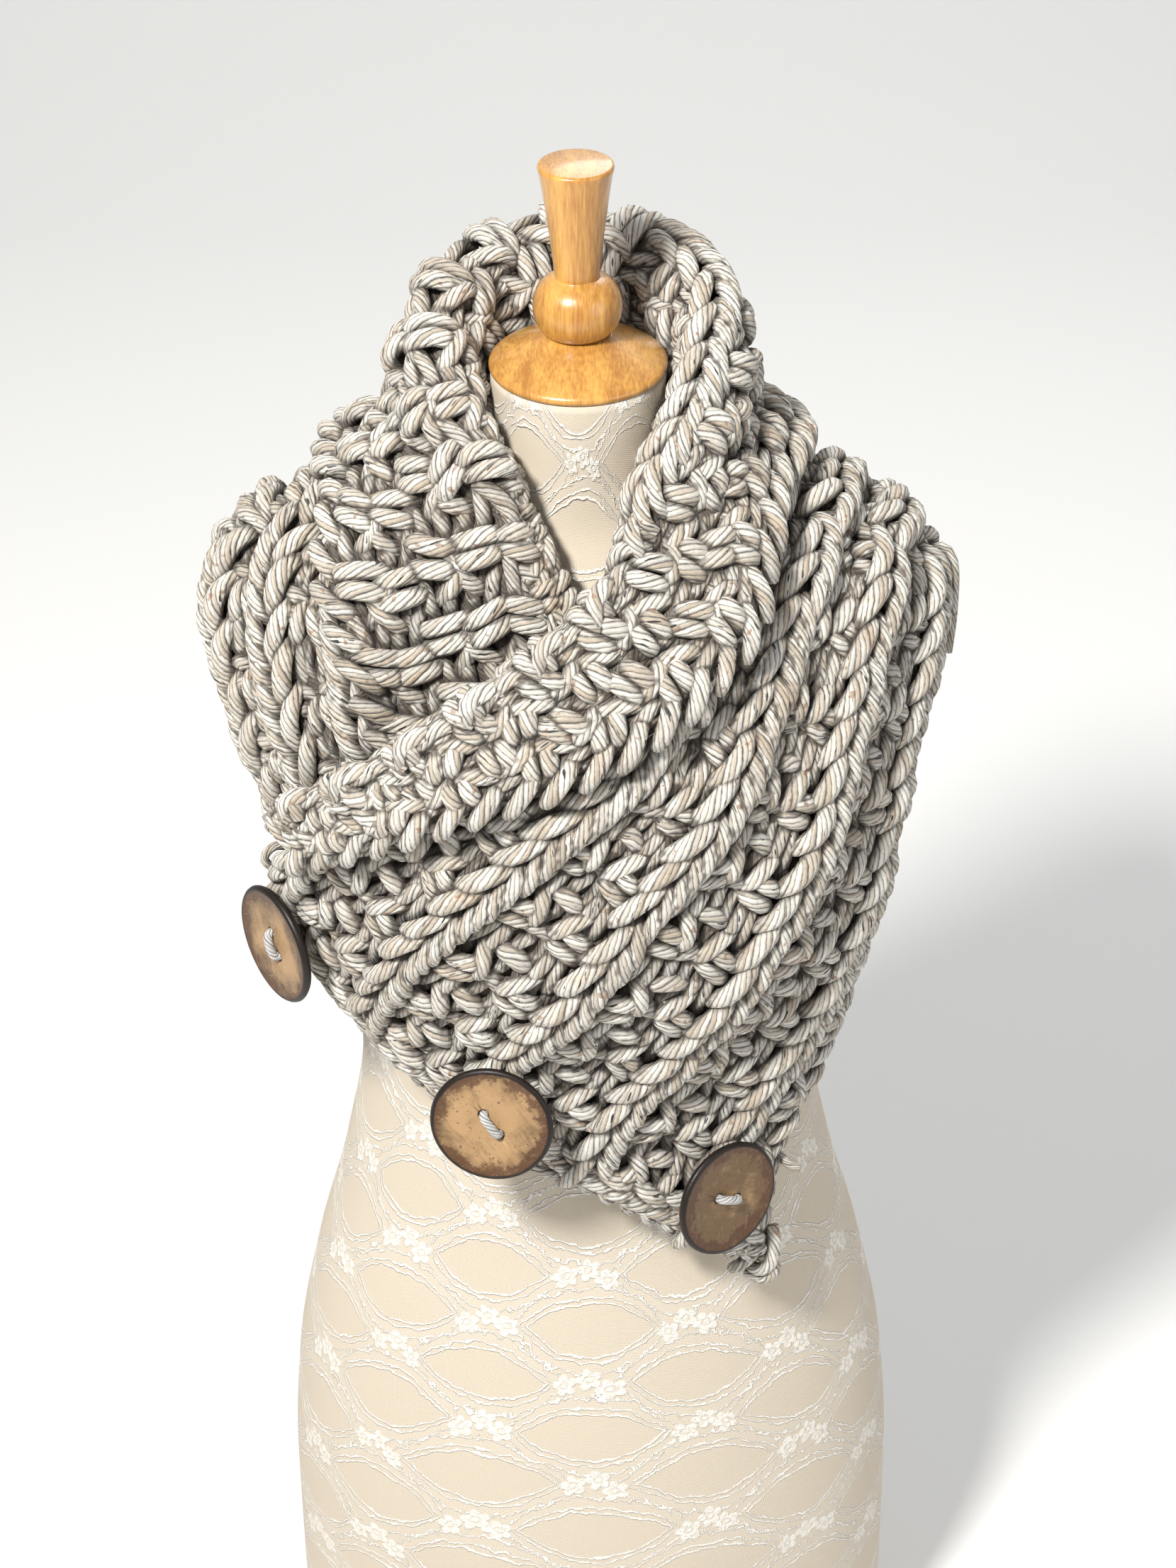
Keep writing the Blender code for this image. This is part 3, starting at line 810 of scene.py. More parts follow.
class YarnSweep:
    """Sweeps yarn along strands with a Geometry Nodes tree."""

    def __init__(self) -> None:
        """Builds the tree once; each use sets its own inputs."""
        tree = bpy.data.node_groups.new("sweep_plied_yarn", "GeometryNodeTree")
        face = tree.interface
        face.new_socket("Geometry", in_out="INPUT", socket_type="NodeSocketGeometry")
        sides = face.new_socket("Sides", in_out="INPUT", socket_type="NodeSocketInt")
        thickness = face.new_socket("Thickness", in_out="INPUT", socket_type="NodeSocketFloat")
        finish = face.new_socket("Yarn", in_out="INPUT", socket_type="NodeSocketMaterial")
        face.new_socket("Geometry", in_out="OUTPUT", socket_type="NodeSocketGeometry")
        self.tree = tree
        self.sockets = {"sides": sides.identifier, "thickness": thickness.identifier,
                        "yarn": finish.identifier}
        entry = tree.nodes.new("NodeGroupInput")
        leave = tree.nodes.new("NodeGroupOutput")
        curve = tree.nodes.new("GeometryNodeMeshToCurve")
        radius = tree.nodes.new("GeometryNodeInputNamedAttribute")
        radius.data_type = "FLOAT"
        radius.inputs["Name"].default_value = "yarn_radius"
        scale = tree.nodes.new("ShaderNodeMath")
        scale.operation = "MULTIPLY"
        spline = tree.nodes.new("GeometryNodeSplineParameter")
        circle = tree.nodes.new("GeometryNodeCurvePrimitiveCircle")
        circle.inputs["Radius"].default_value = 1.0
        sweep = tree.nodes.new("GeometryNodeCurveToMesh")
        sweep.inputs["Fill Caps"].default_value = True
        smooth = tree.nodes.new("GeometryNodeSetShadeSmooth")
        real = tree.nodes.new("GeometryNodeRealizeInstances")
        paint = tree.nodes.new("GeometryNodeSetMaterial")
        link = tree.links.new
        link(entry.outputs["Geometry"], curve.inputs[0])
        link(radius.outputs["Attribute"], scale.inputs[0])
        link(entry.outputs["Thickness"], scale.inputs[1])
        along = self.store(curve.outputs[0], "ply_along", spline.outputs["Length"])
        position = tree.nodes.new("GeometryNodeInputPosition")
        split = tree.nodes.new("ShaderNodeSeparateXYZ")
        link(position.outputs[0], split.inputs[0])
        link(entry.outputs["Sides"], circle.inputs["Resolution"])
        ring = self.store(circle.outputs["Curve"], "ply_cos", split.outputs["X"])
        ring = self.store(ring, "ply_sin", split.outputs["Y"])
        link(along, sweep.inputs["Curve"])
        link(scale.outputs[0], sweep.inputs["Scale"])
        link(ring, sweep.inputs["Profile Curve"])
        link(sweep.outputs[0], smooth.inputs["Geometry"])
        link(smooth.outputs[0], real.inputs[0])
        link(real.outputs[0], paint.inputs["Geometry"])
        link(entry.outputs["Yarn"], paint.inputs["Material"])
        link(paint.outputs[0], leave.inputs[0])

    def store(self, source: Any, name: str, value: Any) -> Any:
        """Adds a step that keeps a number at every point.

        Args:
            source: the geometry's socket.
            name: the attribute's name.
            value: the number's socket.

        Returns:
            The geometry's socket after it.
        """
        keep = self.tree.nodes.new("GeometryNodeStoreNamedAttribute")
        keep.data_type = "FLOAT"
        keep.domain = "POINT"
        keep.inputs["Name"].default_value = name
        self.tree.links.new(source, keep.inputs["Geometry"])
        self.tree.links.new(value, keep.inputs["Value"])
        return keep.outputs["Geometry"]

    def make(self, name: str, strands: Sequence[Strand], finish: Material,
             sides: int = 8, thickness: float = 1.0) -> Object:
        """One piece of yarn from its strands.

        Args:
            name: the piece's name.
            strands: the lengths of yarn in it.
            finish: its material.
            sides: how many sides each strand has.
            thickness: the yarn's thickness against that of its strands.

        Returns:
            A plain mesh object with the numbers that the yarn's finish reads.
        """
        points = np.concatenate([strand.points for strand in strands])
        radii = np.concatenate([strand.radii for strand in strands])
        heights = np.concatenate([strand.heights for strand in strands])
        shades = np.concatenate([np.full(len(strand.points), strand.shade) for strand in strands])
        edges = []
        start = 0
        for strand in strands:
            edges += [(start + i, start + i + 1) for i in range(len(strand.points) - 1)]
            start += len(strand.points)
        mesh = bpy.data.meshes.new(name + "_path")
        mesh.from_pydata([tuple(point) for point in points], edges, [])
        store_numbers(mesh, yarn_radius=radii, yarn_shade=shades, yarn_height=heights)
        source = place_in_scene(name + "_path", mesh)
        modifier = source.modifiers.new("sweep", "NODES")
        modifier.node_group = self.tree
        modifier[self.sockets["sides"]] = sides
        modifier[self.sockets["thickness"]] = thickness
        modifier[self.sockets["yarn"]] = finish
        made = plain_mesh(source)
        made.name = name
        bpy.data.objects.remove(source)
        return place_in_scene(name, made)


class Cover:
    """Tells which strands lie wholly under another stretch of the cloth."""

    def __init__(self, surfaces: Sequence[ClothSurface]) -> None:
        """Builds one search tree over the covering surfaces.

        Args:
            surfaces: the stretches on top.
        """
        points: list[Vector] = []
        faces = []
        for surface in surfaces:
            grid = surface.points[::3, ::3]
            start = len(points)
            points += [Vector(point) for point in grid.reshape(-1, 3)]
            rows, columns = grid.shape[:2]
            for i in range(rows - 1):
                for j in range(columns - 1):
                    k = start + i * columns + j
                    faces.append((k, k + 1, k + columns + 1, k + columns))
        self.tree = BVHTree.FromPolygons(points, faces)

    def hides(self, point: np.ndarray, out: np.ndarray, reach: float = 0.07) -> bool:
        """Whether the cloth over a point hides it from every side.

        Args:
            point: the place.
            out: the way out of its own cloth.
            reach: how far off the cover may be.

        Returns:
            True if every ray from it meets the cover.
        """
        forward = Vector(out)
        side = forward.orthogonal().normalized()
        up = forward.cross(side)
        start = Vector(point) + forward * 0.004
        for slope in (0.0, 0.7, 1.5):
            for k in range(1 if slope == 0 else 8):
                angle = math.pi * k / 4
                ray = forward + (side * math.cos(angle) + up * math.sin(angle)) * slope
                if self.tree.ray_cast(start, ray.normalized(), reach)[0] is None:
                    return False
        return True


class PaintedHollowShade:
    """Marks each point of the yarn with how closed in it is by the yarn around it, which the
    yarn's finish paints as shade.
    """

    slopes = ((0.0, 0.0), (1.1, 0.0), (-0.55, 0.95), (-0.55, -0.95), (0.0, 2.4), (0.0, -2.4))

    def __init__(self, pieces: Sequence[Object]) -> None:
        """Builds one search tree over the pieces.

        Args:
            pieces: every piece of yarn.
        """
        points: list[list[float]] = []
        faces: list[list[int]] = []
        for piece in pieces:
            mesh = piece.data
            mesh.calc_loop_triangles()
            corners = np.empty(len(mesh.loop_triangles) * 3, np.int32)
            mesh.loop_triangles.foreach_get("vertices", corners)
            faces += (corners.reshape(-1, 3) + len(points)).tolist()
            points += read_points(mesh).tolist()
        self.tree = BVHTree.FromPolygons(points, faces, all_triangles=True)

    def mark(self, piece: Object, reach: float = 0.016) -> None:
        """Stores on a piece how closed in each point is, from 0 in the open to 1 in a hole, for
        painted shade.

        Args:
            piece: the piece of yarn.
            reach: how far off yarn still shuts a point in, in metres.
        """
        mesh = piece.data
        points = read_points(mesh).astype(float)
        out = read_points(mesh, "normal").astype(float)
        side = np.cross(out, (0.31, 0.22, 0.92))
        side /= np.linalg.norm(side, axis=1, keepdims=True) + 1e-9
        up = np.cross(out, side)
        starts = points + out * 0.0006
        total = np.zeros(len(points))
        cast = self.tree.ray_cast
        for across_it, up_it in self.slopes:
            rays = out + side * across_it + up * up_it
            rays /= np.linalg.norm(rays, axis=1, keepdims=True)
            found = [cast(start, ray, reach)[3] for start, ray in zip(starts.tolist(),
                                                                      rays.tolist())]
            total += [0.0 if away is None else 1.0 - 0.6 * away / reach for away in found]
        store_numbers(mesh, yarn_hollow=total / len(self.slopes))


class Field:
    """A number in a material; arithmetic on it builds the nodes."""

    def __init__(self, tree: NodeTree, socket: Any) -> None:
        """Wraps a socket.

        Args:
            tree: the material's tree.
            socket: the socket that gives the number.
        """
        self.tree = tree
        self.socket = socket

    def math(self, operation: str, *others: Field | float) -> Field:
        """One math node, its constants set on its own sockets.

        Args:
            operation: the node's operation.
            *others: its other inputs.

        Returns:
            The node's result.
        """
        node = self.tree.nodes.new("ShaderNodeMath")
        node.operation = operation
        for index, value in enumerate((self, *others)):
            if isinstance(value, Field):
                self.tree.links.new(value.socket, node.inputs[index])
            else:
                node.inputs[index].default_value = value
        return Field(self.tree, node.outputs[0])

    def __add__(self, other: Field | float) -> Field:
        """The sum."""
        return self.math("ADD", other)

    def __sub__(self, other: Field | float) -> Field:
        """The difference."""
        return self.math("SUBTRACT", other)

    def __mul__(self, other: Field | float) -> Field:
        """The product."""
        return self.math("MULTIPLY", other)

    def sin(self) -> Field:
        """Its sine."""
        return self.math("SINE")

    def cos(self) -> Field:
        """Its cosine."""
        return self.math("COSINE")

    def size(self) -> Field:
        """Its size, without its sign."""
        return self.math("ABSOLUTE")

    def wrap(self) -> Field:
        """Its part after the point, from 0 to 1."""
        return self.math("FRACT")

    def floor(self) -> Field:
        """The whole number under it."""
        return self.math("FLOOR")

    def rise(self, low: float, high: float) -> Field:
        """Smoothly 0 at low and 1 at high.

        Args:
            low: where it is 0, which may be the larger.
            high: where it is 1.

        Returns:
            The smoothed number.
        """
        node = self.tree.nodes.new("ShaderNodeMapRange")
        node.interpolation_type = "SMOOTHSTEP"
        self.tree.links.new(self.socket, node.inputs["Value"])
        flipped = low > high
        node.inputs["From Min"].default_value = min(low, high)
        node.inputs["From Max"].default_value = max(low, high)
        node.inputs["To Min"].default_value = 1.0 if flipped else 0.0
        node.inputs["To Max"].default_value = 0.0 if flipped else 1.0
        return Field(self.tree, node.outputs["Result"])


class Finish:
    """A material under construction."""

    def __init__(self, name: str, roughness: float) -> None:
        """Starts a material.

        Args:
            name: its name.
            roughness: from 0, a mirror, to 1.
        """
        self.material = bpy.data.materials.new(name)
        self.material.use_nodes = True
        self.tree = self.material.node_tree
        self.shader = self.tree.nodes["Principled BSDF"]
        self.shader.inputs["Roughness"].default_value = roughness

    def attribute(self, name: str) -> Field:
        """A number stored on the piece's points."""
        node = self.tree.nodes.new("ShaderNodeAttribute")
        node.attribute_name = name
        return Field(self.tree, node.outputs["Fac"])

    def object_places(self) -> Any:
        """The socket of the piece's own coordinates."""
        return self.tree.nodes.new("ShaderNodeTexCoord").outputs["Object"]

    def vector(self, *parts: Field | float) -> Any:
        """A vector from three numbers.

        Args:
            *parts: x, y and z.

        Returns:
            The vector's socket.
        """
        node = self.tree.nodes.new("ShaderNodeCombineXYZ")
        for index, part in enumerate(parts):
            if isinstance(part, Field):
                self.tree.links.new(part.socket, node.inputs[index])
            else:
                node.inputs[index].default_value = part
        return node.outputs[0]

    def noise(self, vector: Any, scale: float, detail: float = 3.0,
              roughness: float = 0.55) -> Field:
        """A noise.

        Args:
            vector: the socket of the places.
            scale: how fine it is.
            detail: how many finer noises are added.
            roughness: how strong they are.

        Returns:
            The noise, mostly from 0.3 to 0.7.
        """
        node = self.tree.nodes.new("ShaderNodeTexNoise")
        self.tree.links.new(vector, node.inputs["Vector"])
        node.inputs["Scale"].default_value = scale
        node.inputs["Detail"].default_value = detail
        node.inputs["Roughness"].default_value = roughness
        return Field(self.tree, node.outputs["Fac"])

    def mix(self, factor: Field | float, first: Any, second: Any, kind: str = "MIX") -> Any:
        """A colour between two others.

        Args:
            factor: how much of the second there is.
            first: a colour's socket or its three numbers.
            second: likewise.
            kind: the way of mixing.

        Returns:
            The colour's socket.
        """
        node = self.tree.nodes.new("ShaderNodeMix")
        node.data_type = "RGBA"
        node.blend_type = kind
        if isinstance(factor, Field):
            self.tree.links.new(factor.socket, node.inputs[0])
        else:
            node.inputs[0].default_value = factor
        for index, value in ((6, first), (7, second)):
            if isinstance(value, tuple):
                node.inputs[index].default_value = (*value, 1)
            else:
                self.tree.links.new(value, node.inputs[index])
        return node.outputs[2]

    def color(self, socket: Any) -> None:
        """Sets the base colour."""
        self.tree.links.new(socket, self.shader.inputs["Base Color"])

    def bump(self, height: Field, distance: float, strength: float = 1.0) -> None:
        """Sets the bumps.

        Args:
            height: how high the surface stands, from 0 to 1.
            distance: how high 1 is, in metres.
            strength: how much of it shows.
        """
        node = self.tree.nodes.new("ShaderNodeBump")
        node.inputs["Strength"].default_value = strength
        node.inputs["Distance"].default_value = distance
        self.tree.links.new(height.socket, node.inputs["Height"])
        self.tree.links.new(node.outputs[0], self.shader.inputs["Normal"])


Color = tuple[float, float, float]


@dataclass(frozen=True)
class YarnFinish:
    """Plied tweed yarn: the plies' turns, their tints and the flecks, with painted shade in the
    grooves between the plies, low in the cloth and where other yarn closes a point in.
    """

    name: str = "yarn"
    light: Color = (0.94, 0.90, 0.815)
    middle: Color = (0.55, 0.45, 0.33)
    cool: Color = (0.66, 0.64, 0.59)
    warm: Color = (0.62, 0.47, 0.33)
    # near-black painted shade for the grooves between the plies
    groove_shade: Color = (0.085, 0.060, 0.042)
    plies: int = 9
    twist: float = 1500.0
    flecks: bool = True

    def build(self) -> Material:
        """The material; it reads ply_cos, ply_sin, ply_along and yarn_shade."""
        made = Finish(self.name, 0.92)
        angle = made.attribute("ply_sin").math("ARCTAN2", made.attribute("ply_cos"))
        along = made.attribute("ply_along")
        shade = made.attribute("yarn_shade")
        places = made.object_places()
        wander = (made.noise(places, 90.0, 3.0) - 0.5) * 5.0
        phase = angle * float(self.plies) + along * self.twist + shade * 44.0 + wander
        turn = phase * (1 / (2 * math.pi))
        uneven = made.noise(places, 330.0, 2.0, 0.6)
        ridge = (phase * 0.5).sin().size().math("POWER", 0.55)
        strand = (phase * (1 / 6)).sin().size().math("POWER", 0.5)
        number = turn.floor().math("FLOORED_MODULO", float(self.plies))
        scatter = (((number + shade * 91.0) * 12.9898).sin() * 43758.55).wrap()
        streaks = made.vector(phase.cos() * 1.5 + scatter * 9.0, phase.sin() * 1.5,
                              along * 130.0 + shade * 70.0)
        fibre = made.noise(streaks, 2.0, 3.0, 0.65)
        fine = made.noise(places, 1100.0, 2.0, 0.7)
        tone = scatter * 0.72 + fibre * 0.95 + (fine - 0.5) * 0.40
        base = made.mix(tone.rise(0.42, 1.04), self.middle, self.light)
        base = made.mix((scatter * 5.3).wrap().rise(0.72, 0.86) * 0.5, base, self.cool)
        warm = made.noise(places, 46.0, 2.0).rise(0.56, 0.72) * 0.5
        base = made.mix(warm, base, self.warm)
        if self.flecks:
            rust = made.noise(places, 210.0, 1.0, 0.5).rise(0.30, 0.27) * 0.75
            base = made.mix(rust, base, (0.40, 0.20, 0.09))
        # painted shade: these masks mark the grooves between the plies and between groups of
        # plies, which are coloured towards the dark groove colour
        fine_groove_shade = ridge.rise(0.76, 0.20) * (uneven.rise(0.32, 0.66) * 0.72 + 0.04)
        broad_groove_shade = strand.rise(0.60, 0.15) * (uneven.rise(0.30, 0.60) * 0.5 + 0.4)
        gap = fine_groove_shade.math("MAXIMUM", broad_groove_shade)
        base = made.mix(gap, base, self.groove_shade)
        # painted shade: yarn low in the cloth and points closed in by other yarn are multiplied
        # towards dark brown
        low_shade_mask = made.attribute("yarn_height").rise(0.0050, -0.0030) * 0.35
        hollow_shade_mask = made.attribute("yarn_hollow").rise(0.10, 0.62)
        base = made.mix(low_shade_mask + hollow_shade_mask * 0.88, base, (0.13, 0.10, 0.07), "MULTIPLY")
        if self.flecks:
            lying = phase * (1 / self.plies)
            specks = made.vector(lying.cos() * 1.3, lying.sin() * 1.3,
                                 along * 80.0 + shade * 90.0)
            dark = made.noise(specks, 1.5, 1.0, 0.5).rise(0.700, 0.720)
            base = made.mix(dark, base, (0.014, 0.011, 0.010))
        made.color(base)
        made.shader.inputs["Sheen Weight"].default_value = 0.25
        made.shader.inputs["Sheen Roughness"].default_value = 0.6
        made.bump(ridge * 0.85 + strand * 0.70 + fibre * 0.32 + fine * 0.14 + uneven * 0.2, 0.0027)
        return made.material


@dataclass(frozen=True)
class ShadowGroundFinish:
    """The strip's own ground between the raised stitches, coloured nearly black as painted shade
    in the gaps between them.
    """

    name: str = "ground_painted_shade"
    # the ground's near-black colour is painted shade for the gaps between the stitches
    tone: Color = (0.060, 0.046, 0.033)

    def build(self) -> Material:
        """The material."""
        made = Finish(self.name, 0.95)
        places = made.object_places()
        strands = made.noise(places, 110.0, 3.0)
        made.color(made.mix(strands.rise(0.3, 0.7), tuple(c * 0.6 for c in self.tone), self.tone))
        made.bump(strands, 0.004)
        return made.material


@dataclass(frozen=True)
class LaceFinish:
    """Cream corded lace: a fine net, pointed ovals of frayed cord, and flowers."""

    name: str = "lace_cover"
    cream: Color = (0.76, 0.73, 0.675)
    shadow: Color = (0.54, 0.465, 0.365)
    wide: float = 0.140 * math.pi / 4
    high: float = 0.070

    def build(self) -> Material:
        """The material; it reads lace_cos, lace_sin, lace_reach and lace_v."""
        made = Finish(self.name, 0.85)
        turn = made.attribute("lace_sin").math("ARCTAN2", made.attribute("lace_cos"))
        u = turn * made.attribute("lace_reach")
        v = made.attribute("lace_v")
        places = made.object_places()
        sway = (made.noise(places, 16.0, 2.0) - 0.5) * 0.22
        x = u * (1 / self.wide) + sway
        y = v * (1 / self.high) + sway * 0.8
        cord = None
        clear = None
        for way, (middle_x, middle_y) in enumerate(((0.0, 0.75), (0.5, 0.25))):
            dx = (x - middle_x + 0.5).wrap() - 0.5
            dy = (y - middle_y + 0.5).wrap() - 0.5
            away = dx * dx * 10.0 + dy.size() * 4.1
            for at, thick, loose in ((1.0, 0.060, 0.40), (1.22, 0.055, 0.46),
                                     (1.62, 0.060, 0.80)):
                fray = made.noise(places, 70.0 + 40.0 * at + 17.0 * way, 3.0, 0.62) - 0.5
                line = (away + fray * loose - at).size().rise(thick, thick * 0.3)
                cord = line if cord is None else cord.math("MAXIMUM", line)
            clear = away if clear is None else clear.math("MINIMUM", away)
        flower = None
        for shift_x, shift_y in ((0.01, 0.30), (0.10, 0.20), (-0.10, 0.24), (0.50, 0.80),
                                 (0.59, 0.72), (0.40, 0.70)):
            fx = ((x - shift_x + 0.5).wrap() - 0.5) * self.wide
            fy = ((y - shift_y + 0.5).wrap() - 0.5) * self.high
            radius = (fx * fx + fy * fy).math("SQRT")
            petal = (fy.math("ARCTAN2", fx) * 2.5).sin().size() * 0.0026 + 0.0042
            inside = (radius - petal).rise(0.0009, -0.0008)
            eye = (radius - 0.0020).size().rise(0.0011, 0.0003)
            shape = inside - eye * 0.55
            flower = shape if flower is None else flower.math("MAXIMUM", shape)
        grain = made.noise(places, 420.0, 2.0, 0.6)
        flower = flower * (grain.rise(0.25, 0.6) * 0.5 + 0.3)
        net_u = (u + v) * (2 * math.pi / 0.0019)
        net_v = (u - v) * (2 * math.pi / 0.0024)
        net = (net_u.sin() * net_v.sin()).rise(-0.2, 0.7)
        thread = made.noise(places, 1400.0, 2.0)
        raised = cord.math("MAXIMUM", flower)
        filled = clear.rise(0.8, 1.3) * 0.10
        tone = (raised * 0.80 + net * 0.34 + thread * 0.10 + filled).rise(0.0, 1.0)
        mottled = made.mix((made.noise(places, 14.0, 3.0) - 0.5).rise(-0.2, 0.25) * 0.3,
                           self.cream, tuple(c * 0.88 for c in self.cream))
        made.color(made.mix(tone, self.shadow, mottled))
        made.bump(raised * 0.9 + net * 0.16 + thread * 0.12, 0.0009)
        return made.material


@dataclass(frozen=True)
class WoodFinish:
    """Varnished honey beech, its grain up the turning's axis."""

    name: str = "varnished_wood"
    pale: Color = (0.58, 0.310, 0.072)
    dark: Color = (0.33, 0.140, 0.026)

    def build(self) -> Material:
        """The material."""
        made = Finish(self.name, 0.32)
        places = made.object_places()
        stretch = made.tree.nodes.new("ShaderNodeMapping")
        stretch.inputs["Scale"].default_value = (75.0, 26.0, 6.0)
        made.tree.links.new(places, stretch.inputs["Vector"])
        bands = made.noise(stretch.outputs[0], 1.4, 4.0, 0.6)
        fibres = made.noise(stretch.outputs[0], 12.0, 3.0, 0.6)
        tone = (bands * 0.75 + fibres * 0.55 - 0.15).rise(0.30, 0.70)
        made.color(made.mix(tone, self.dark, self.pale))
        made.shader.inputs["Coat Weight"].default_value = 0.6
        made.shader.inputs["Coat Roughness"].default_value = 0.14
        made.bump(fibres, 0.0003, 0.5)
        return made.material


@dataclass(frozen=True)
class ShellFinish:
    """Polished coconut shell: mottled brown, a dark rim and fine scratches."""

    name: str = "coconut_shell"
    tan: Color = (0.36, 0.225, 0.11)
    brown: Color = (0.130, 0.077, 0.036)
    rim: Color = (0.010, 0.006, 0.004)

    def build(self) -> Material:
        """The material; it reads disc_x and disc_y, in metres from the button's middle."""
        made = Finish(self.name, 0.46)
        x = made.attribute("disc_x")
        y = made.attribute("disc_y")
        radius = (x * x + y * y).math("SQRT")
        places = made.object_places()
        cloudy = made.noise(places, 55.0, 4.0, 0.6)
        streak_at = made.vector(x * 60.0, y * 420.0, 0.0)
        streaks = made.noise(streak_at, 1.0, 5.0, 0.7)
        fine_at = made.vector(x * 2400.0, y * 160.0, 3.0)
        scratch = made.noise(fine_at, 1.0, 2.0, 0.5).rise(0.63, 0.72)
        worn = radius.rise(0.012, BUTTON_WIDTH / 2) * 0.34
        dark = made.attribute("disc_dark")
        tone = (cloudy * 1.15 + streaks * 0.50 - worn - dark * 0.42 - 0.10).rise(0.30, 0.76)
        base = made.mix(tone, self.brown, self.tan)
        blots = (made.noise(places, 75.0, 5.0, 0.75) + worn * 1.25).rise(0.74, 0.84)
        base = made.mix(blots * 0.85, base, (0.075, 0.032, 0.014))
        pores = made.noise(places, 620.0, 2.0).rise(0.66, 0.72)
        base = made.mix(pores * 0.7, base, (0.05, 0.03, 0.02))
        base = made.mix(scratch * 0.35, base, (0.62, 0.46, 0.30))
        wobble = (made.noise(places, 120.0, 2.0) - 0.5) * 0.0016
        edge = (radius + wobble).rise(BUTTON_WIDTH / 2 - 0.0031, BUTTON_WIDTH / 2 - 0.0019)
        made.color(made.mix(edge, base, self.rim))
        made.shader.inputs["Coat Weight"].default_value = 0.08
        made.shader.inputs["Specular IOR Level"].default_value = 0.3
        made.shader.inputs["Coat Roughness"].default_value = 0.25
        made.bump(streaks * 0.5 + pores * -0.6, 0.0003)
        return made.material


@dataclass(frozen=True)
class PlainFinish:
    """A plain matt colour."""

    name: str
    tone: Color
    roughness: float = 0.9

    def build(self) -> Material:
        """The material."""
        made = Finish(self.name, self.roughness)
        made.shader.inputs["Base Color"].default_value = (*self.tone, 1)
        return made.material


def make_object(name: str, points: Sequence[Sequence[float]], faces: Sequence[Sequence[int]],
                finish: Material, smooth: bool = True) -> Object:
    """An object from points and faces, its faces turned outwards.

    Args:
        name: its name.
        points: its corners, in metres.
        faces: the corners of each face.
        finish: its material.
        smooth: whether its shading is smooth.

    Returns:
        The object, at the origin.
    """
    mesh = bpy.data.meshes.new(name)
    mesh.from_pydata([tuple(point) for point in points], [], faces)
    shape = bmesh.new()
    shape.from_mesh(mesh)
    bmesh.ops.recalc_face_normals(shape, faces=shape.faces)
    if shape.calc_volume(signed=True) < 0:
        bmesh.ops.reverse_faces(shape, faces=shape.faces)
    shape.to_mesh(mesh)
    shape.free()
    mesh.materials.append(finish)
    mesh.polygons.foreach_set("use_smooth", [smooth] * len(mesh.polygons))
    return place_in_scene(name, mesh)


def ground_shell(name: str, surface: ClothSurface, inset: Sequence[float],
                 finish: Material, steps: tuple[int, int]) -> Object:
    """The thin closed ground that a stretch's stitches stand on.

    Args:
        name: its name.
        surface: the middle of the stretch's wall.
        inset: the first and last place along the ribs, and across them.
        finish: its material.
        steps: how many faces along and across.

    Returns:
        The shell.
    """
    rows, columns = steps[0] + 1, steps[1] + 1
    u, v = np.meshgrid(np.linspace(inset[0], inset[1], rows),
                       np.linspace(inset[2], inset[3], columns), indexing="ij")
    middle, out = surface.sample(u.ravel(), v.ravel())
    points = np.concatenate([middle - out * GROUND_BACK, middle - out * GROUND_FACE])
    size = rows * columns
    faces = []
    for i in range(rows - 1):
        for j in range(columns - 1):
            k = i * columns + j
            faces.append((k, k + columns, k + columns + 1, k + 1))
            faces.append((size + k, size + k + 1, size + k + columns + 1, size + k + columns))
    ring = [(i * columns, (i + 1) * columns) for i in range(rows - 1)]
    ring += [((rows - 1) * columns + j, (rows - 1) * columns + j + 1) for j in range(columns - 1)]
    ring += [((i + 1) * columns + columns - 1, i * columns + columns - 1)
             for i in reversed(range(rows - 1))]
    ring += [(j + 1, j) for j in reversed(range(columns - 1))]
    faces += [(a, b, size + b, size + a) for a, b in ring]
    return make_object(name, points, faces, finish)


@dataclass
class Finishes:
    """Every material in the scene, made once."""

    yarn: Material
    ground: Material
    tie: Material
    lace: Material
    wood: Material
    shell: Material
    floor: Material

    @staticmethod
    def make() -> Finishes:
        """Builds them."""
        return Finishes(
            yarn=YarnFinish().build(),
            ground=ShadowGroundFinish().build(),
            # the tie's grey groove colour is painted shade between its plies
            tie=YarnFinish(name="tie_yarn", light=(0.80, 0.79, 0.77), middle=(0.62, 0.61, 0.60),
                           cool=(0.72, 0.73, 0.75), warm=(0.66, 0.64, 0.62),
                           groove_shade=(0.30, 0.29, 0.28), plies=6, twist=2600.0,
                           flecks=False).build(),
            lace=LaceFinish().build(),
            wood=WoodFinish().build(),
            shell=ShellFinish().build(),
            floor=PlainFinish("pale_floor", (0.80, 0.80, 0.79), 0.8).build(),
        )


@dataclass
class StretchPlan:
    """How one stretch of the strip is covered with stitches.

    It has the solid's node, the flat size of what shows, the distance across the whole strip at
    which it first shows and the place along it where it begins. A stretch with a border has its
    lower end bound, one without chain_in has its inner edge hidden, and way is -1 where the yarn
    runs against it. A joined one meets another stretch where it begins, as each does at its end.
    """

    node: str
    surface: ClothSurface
    flat: tuple[float, float]
    first: float = 0.0
    begin: float = 0.0
    border: bool = False
    chain_in: bool = True
    way: int = 1
    joined: bool = False


